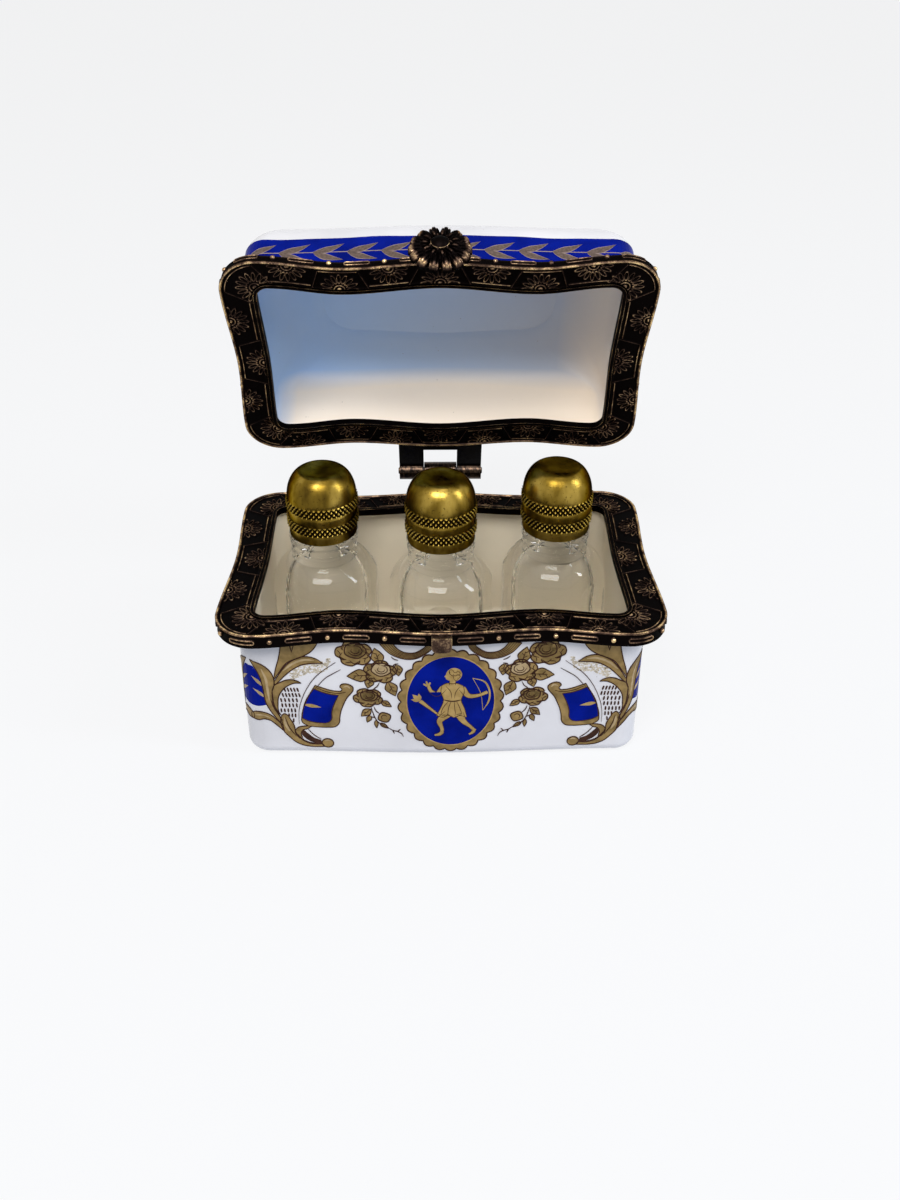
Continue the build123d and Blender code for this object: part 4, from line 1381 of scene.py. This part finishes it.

# %% [markdown]
# The glaze is white outside. Inside the box it is cream. In the hollow of the lid the white glaze
# carries painted light and shade: a painted cool blue-grey shade over the ceiling, and painted
# warm cream light towards the hinge side. The inside is found by which way a face looks: towards
# a point in the hollow. The lid's place is turned back to shut.

# %% White glaze
OUTSIDE_LOW, OUTSIDE_HIGH = (0.66, 0.65, 0.67), (0.74, 0.73, 0.75)
# The second colour on the next line is the lid's cream: painted warm light on its hinge-side and right walls.
CREAM_INSIDE, CREAM_PAINTED_LIGHT = (0.82, 0.73, 0.57), (1.0, 0.86, 0.70)
# Painted cool shade: the blue-grey of the ceiling inside the lid, bluer to the left.
BLUE_PAINTED_SHADE, GREY_PAINTED_SHADE = (0.50, 0.70, 1.0), (0.54, 0.58, 0.67)
PIT_BROWN = (0.20, 0.15, 0.11)
BASE_HOLLOW, LID_HOLLOW = (0, 0, 30), (0, 0, 36)
# Along the shut lid's depth, the painted shade ends and the painted warm light starts.
PAINTED_SHADE_END_Y, PAINTED_LIGHT_START_Y = 19.5, 22.2


def inside_share(finish, middle):
    """1 on faces that look towards a point in the hollow, 0 on faces that look away from it."""
    away = finish.vector("SUBTRACT", finish.place, Vector(middle) * MM)
    return finish.between(finish.vector("DOT_PRODUCT", away, finish.facing), 1 * MM, -1 * MM)


def base_inside(finish, outside):
    """The box's glaze, and how far a face belongs to its inside."""
    hollow = inside_share(finish, BASE_HOLLOW)
    return finish.mix(hollow, outside, CREAM_INSIDE), hollow


def lid_inside(finish, outside):
    """The lid's glaze with painted shade and light inside it, and how far a face belongs to its inside; x and
    y are those of the shut lid.
    """
    shut = finish.nodes.new("ShaderNodeMapping")
    hinge_at = Vector((0, HINGE_Y * MM, HINGE_Z * MM))
    shut.inputs["Rotation"].default_value = (OPEN_TURN, 0, 0)
    shut.inputs["Location"].default_value = hinge_at - Matrix.Rotation(OPEN_TURN, 3, "X") @ hinge_at
    finish.links.new(finish.place, shut.inputs["Vector"])
    x, y, _ = finish.split(shut.outputs["Vector"])
    # Painted warm light: the share of cream rises towards the hinge side and on the right wall, and is weaker
    # at the far left.
    thin = finish.between(y, PAINTED_SHADE_END_Y * MM, PAINTED_LIGHT_START_Y * MM)
    thin = finish.math("MAXIMUM", thin, finish.between(x, 28 * MM, 38 * MM, 0.0, 0.85))
    thin = finish.math("MULTIPLY", thin, finish.between(x, -40 * MM, -34 * MM, 0.25, 1.0))
    # Painted cool shade: blue-grey over the rest of the lid's hollow, bluer on the left.
    cool_painted_shade = finish.mix(finish.between(x, -30 * MM, 30 * MM), BLUE_PAINTED_SHADE, GREY_PAINTED_SHADE)
    painted_light_and_shade = finish.mix(thin, cool_painted_shade, CREAM_PAINTED_LIGHT)
    hollow = inside_share(finish, swing(LID_HOLLOW))
    return finish.mix(hollow, outside, painted_light_and_shade), hollow


def glaze(name, inside):
    finish = Finish(name)
    finish.set(IOR=1.5)
    clouds = finish.noise(14.0, 3.0)
    ripple = finish.noise(3.0, 2.0)
    pits = finish.noise(0.8, 1.0)
    tone, hollow = inside(finish, finish.ramp(clouds, (0.3, OUTSIDE_LOW), (0.7, OUTSIDE_HIGH)))
    finish.colour(finish.mix(finish.between(pits, 0.80, 0.83, 0.0, 0.5), tone, PIT_BROWN))
    gloss = finish.between(ripple, 0.3, 0.7, 0.12, 0.20)
    finish.rough(finish.math("MAXIMUM", gloss, finish.math("MULTIPLY", hollow, 0.42)))
    finish.bump(ripple, 0.05, 0.35)
    return finish.material


lid_glaze = glaze("lid_glaze", lid_inside)
base_glaze = glaze("base_glaze", base_inside)
print("glaze finished for", lid_glaze.name, "and", base_glaze.name)

# %% [markdown]
# The bottles are of clear pressed glass. A real glass index bends the view through the thick walls
# so much that the box behind them turns into dark patches. A low index keeps them clear, a coat
# brings back the shine, and a soft bump makes the walls a little uneven.

# %% Clear glass
def glass():
    finish = Finish("bottle_glass")
    finish.set(Base_Color=(1.0, 1.0, 0.99, 1), Roughness=0.02, IOR=1.07, Transmission_Weight=1.0)
    finish.set(Coat_Weight=0.6, Coat_Roughness=0.03, Coat_IOR=1.5)
    finish.bump(finish.noise(2.2, 2.0), 0.12, 0.6)
    return finish.material


bottle_glass = glass()
print("glass finished")

# %% [markdown]
# The hinge is black on its leaves and rubbed to copper round its knuckles, so the colour goes by
# the distance from the hinge's axis. Thin dark rings are painted shade in the gaps where one
# knuckle ends and the next one starts.

# %% Hinge bronze
KNUCKLE_GAP_X = 3.95
KNUCKLE_BLACK, KNUCKLE_COPPER = (0.008, 0.005, 0.004), (0.13, 0.08, 0.05)


def hinge_bronze():
    """Bronze that is rubbed to copper round the hinge's axis, with rings of painted shade at the knuckle
    gaps.
    """
    finish = Finish("hinge_bronze")
    finish.set(Metallic=0.9)
    grain = finish.noise(0.35, 2.0, (1, 0.4, 0.4))
    away = finish.vector("MULTIPLY", finish.place, (0, 1, 1))
    away = finish.vector("SUBTRACT", away, (0, HINGE_Y * MM, HINGE_Z * MM))
    copper_wear_and_gap_shade = finish.between(finish.vector("LENGTH", away), 2.3 * MM, 2.0 * MM)
    copper = finish.ramp(grain, (0.42, KNUCKLE_BLACK), (0.64, KNUCKLE_COPPER))
    # Painted shade: the copper gives way to black in thin rings at the knuckle gaps.
    from_middle = finish.split(finish.vector("ABSOLUTE", finish.place))["X"]
    from_gap = finish.math("ABSOLUTE", finish.math("SUBTRACT", from_middle, KNUCKLE_GAP_X * MM), 0)
    copper_wear_and_gap_shade = finish.math("MULTIPLY", copper_wear_and_gap_shade, finish.between(from_gap, 0.20 * MM, 0.28 * MM))
    finish.colour(finish.mix(copper_wear_and_gap_shade, BLACKENED, copper))
    finish.rough(finish.between(grain, 0.3, 0.7, 0.16, 0.26))
    return finish.material


worn_hinge = hinge_bronze()
print("hinge finished from axis", round(HINGE_Y, 2), round(HINGE_Z, 2))

# %% [markdown]
# A thin cork disc seals each cap. Only its grain matters: two browns and a rough bump.

# %% Cork
CORK_DARK, CORK_PALE = (0.19, 0.10, 0.05), (0.45, 0.29, 0.16)


def cork():
    finish = Finish("cork_liner")
    grain = finish.noise(0.6, 4.0)
    finish.colour(finish.ramp(grain, (0.35, CORK_DARK), (0.6, CORK_PALE)))
    finish.rough(finish.between(grain, 0.3, 0.7, 0.75, 0.95))
    finish.bump(grain, 0.15)
    return finish.material


cork_liner = cork()
print("cork finished")

# %% [markdown]
# Porcelain, linings, hinge, clasp parts, glass and cork have their full shape in the frame
# already, so they only get a finish.

# %% Dress the frame's own pieces
finishes = {
    "base_porcelain": base_glaze,
    "lid_porcelain": lid_glaze,
    "base_lining": plain_bronze,
    "lid_lining": plain_bronze,
    "base_catch": catch_bronze,
    "base_hinge_leaf": worn_hinge,
    "lid_hinge_leaf": worn_hinge,
    "clasp_tongue": plain_bronze,
    "clasp_boss": plain_bronze,
    "hinge_pin": plain_bronze,
}
for bottle_place in BOTTLE_PLACES:
    finishes["bottle_" + bottle_place] = bottle_glass
    finishes["cap_liner_" + bottle_place] = cork_liner
for node, material in finishes.items():
    for slot in frame["nodes"][node].material_slots:
        slot.material = material
print(len(finishes), "frame pieces dressed")

# %% [markdown]
# The ground is a plain pale floor. It glows for the camera and for mirrors, so it reads as white,
# and keeps part of its own shading, so the casket still casts a soft shadow.

# %% Floor
FLOOR_HALF = 3000.0
FLOOR_GREY = (0.56, 0.59, 0.66, 1)
WHITE = (1, 1, 1, 1)


def whitened(tree, own, white_kind, white_share, surface):
    """Shows its own shade to the scene, and plain white to camera, mirror and glass rays."""
    nodes, links = tree.nodes, tree.links
    rays = nodes.new("ShaderNodeLightPath").outputs

    def combined(operation, first, second):
        node = nodes.new("ShaderNodeMath")
        node.operation = operation
        links.new(first, node.inputs[0])
        links.new(second, node.inputs[1])
        return node.outputs[0]

    seen = combined("MAXIMUM", rays["Is Camera Ray"], rays["Is Glossy Ray"])
    seen = combined("MAXIMUM", seen, rays["Is Transmission Ray"])
    share = nodes.new("ShaderNodeMath")
    share.operation = "MULTIPLY"
    share.inputs[1].default_value = white_share
    links.new(seen, share.inputs[0])
    white = nodes.new(white_kind)
    white.inputs["Color"].default_value = WHITE
    white.inputs["Strength"].default_value = 1.0
    mix = nodes.new("ShaderNodeMixShader")
    for socket, output in zip(mix.inputs, (share.outputs[0], own.outputs[0], white.outputs[0])):
        links.new(output, socket)
    links.new(mix.outputs[0], surface)


def floor():
    reach = FLOOR_HALF * MM
    corners = [(x * reach, y * reach, 0) for x, y in ((-1, -1), (1, -1), (1, 1), (-1, 1))]
    mesh = bpy.data.meshes.new("floor")
    mesh.from_pydata(corners, [], [(0, 1, 2, 3)])
    thing = bpy.data.objects.new("floor", mesh)
    bpy.context.scene.collection.objects.link(thing)
    material = bpy.data.materials.new("pale_floor")
    material.use_nodes = True
    nodes = material.node_tree.nodes
    own = nodes["Principled BSDF"]
    own.inputs["Base Color"].default_value = FLOOR_GREY
    own.inputs["Roughness"].default_value = 0.9
    surface = nodes["Material Output"].inputs["Surface"]
    whitened(material.node_tree, own, "ShaderNodeEmission", 0.85, surface)
    mesh.materials.append(material)
    thing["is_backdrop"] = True
    print("floor", 2 * FLOOR_HALF * MM, "m across")


floor()

# %% [markdown]
# A big soft lamp in front and above gives the broad lights on porcelain and brass, a narrow one on
# the right makes the window streaks, and a weak warm one above lifts the tops of the caps. The
# pale blue world fills the shadows.

# %% Lamps and world
LAMPS_LOOK_AT = Vector((0, 0, 40))
SKY_BLUE = (0.78, 0.87, 1.0, 1)
SKY_STRENGTH = 0.25


def lamp(name, place, size, watts, colour):
    """A soft lamp that looks at the casket; size is (width, height)."""
    data = bpy.data.lights.new(name, "AREA")
    data.shape = "RECTANGLE"
    data.size, data.size_y = (side * MM for side in size)
    data.energy = watts
    data.color = colour
    thing = bpy.data.objects.new(name, data)
    thing.location = Vector(place) * MM
    thing.rotation_euler = (LAMPS_LOOK_AT - Vector(place)).to_track_quat("-Z", "Y").to_euler()
    bpy.context.scene.collection.objects.link(thing)
    print(name, "lamp", watts, "W")


lamp("key", (-80, -360, 540), (400, 260), 3.6, (1.0, 0.98, 0.95))
lamp("window", (520, -140, 360), (80, 340), 1.7, (0.86, 0.92, 1.0))
lamp("top", (50, 0, 700), (200, 200), 0.2, (1.0, 0.90, 0.76))

world = bpy.data.worlds.new("studio")
bpy.context.scene.world = world
world.use_nodes = True
world_nodes = world.node_tree.nodes
sky = world_nodes["Background"]
sky.inputs["Color"].default_value = SKY_BLUE
sky.inputs["Strength"].default_value = SKY_STRENGTH
whitened(world.node_tree, sky, "ShaderNodeBackground", 1.0, world_nodes["World Output"].inputs["Surface"])
bpy.context.scene.view_settings.view_transform = "Standard"

# %% [markdown]
# The camera stands at the height and angle that the photograph was taken from. The photograph
# seems to be cut out of a taller one, so the lens is shifted instead of tilted further.

# %% Camera
CAMERA_PLACE = (-0.816, -207.155, 167.739)
PITCH, YAW, ROLL = (math.radians(angle) for angle in (28.936, -0.750, 0.123))
FOCAL_PIXELS, LONG_SIDE_PIXELS, SENSOR = 1140.24, 1200.0, 36.0
CENTRE_ROW = 477.59
NEAREST_SEEN, FARTHEST_SEEN = 10, 20000


def camera():
    ahead = Vector((-math.sin(YAW) * math.cos(PITCH), math.cos(YAW) * math.cos(PITCH), -math.sin(PITCH)))
    level = ahead.cross(Vector((0, 0, 1))).normalized()
    lifted = level.cross(ahead)
    right = level * math.cos(ROLL) + lifted * math.sin(ROLL)
    up = right.cross(ahead)
    data = bpy.data.cameras.new("camera")
    data.sensor_width = SENSOR
    data.lens = FOCAL_PIXELS / LONG_SIDE_PIXELS * SENSOR
    data.shift_y = (CENTRE_ROW - LONG_SIDE_PIXELS / 2) / LONG_SIDE_PIXELS
    data.clip_start, data.clip_end = NEAREST_SEEN * MM, FARTHEST_SEEN * MM
    thing = bpy.data.objects.new("camera", data)
    turn = Matrix((right, up, -ahead)).transposed().to_4x4()
    thing.matrix_world = Matrix.Translation([v * MM for v in CAMERA_PLACE]) @ turn
    bpy.context.scene.collection.objects.link(thing)
    bpy.context.scene.camera = thing
    print("lens", round(data.lens, 2), "mm")


camera()

# %% Gather the two boxes and print the dressed scene's box
sizes = {"cad": [list(corner) for corner in cad_box], "visual": [list(corner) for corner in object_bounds()]}
print("visual box", [[round(v / MM, 2) for v in corner] for corner in sizes["visual"]])
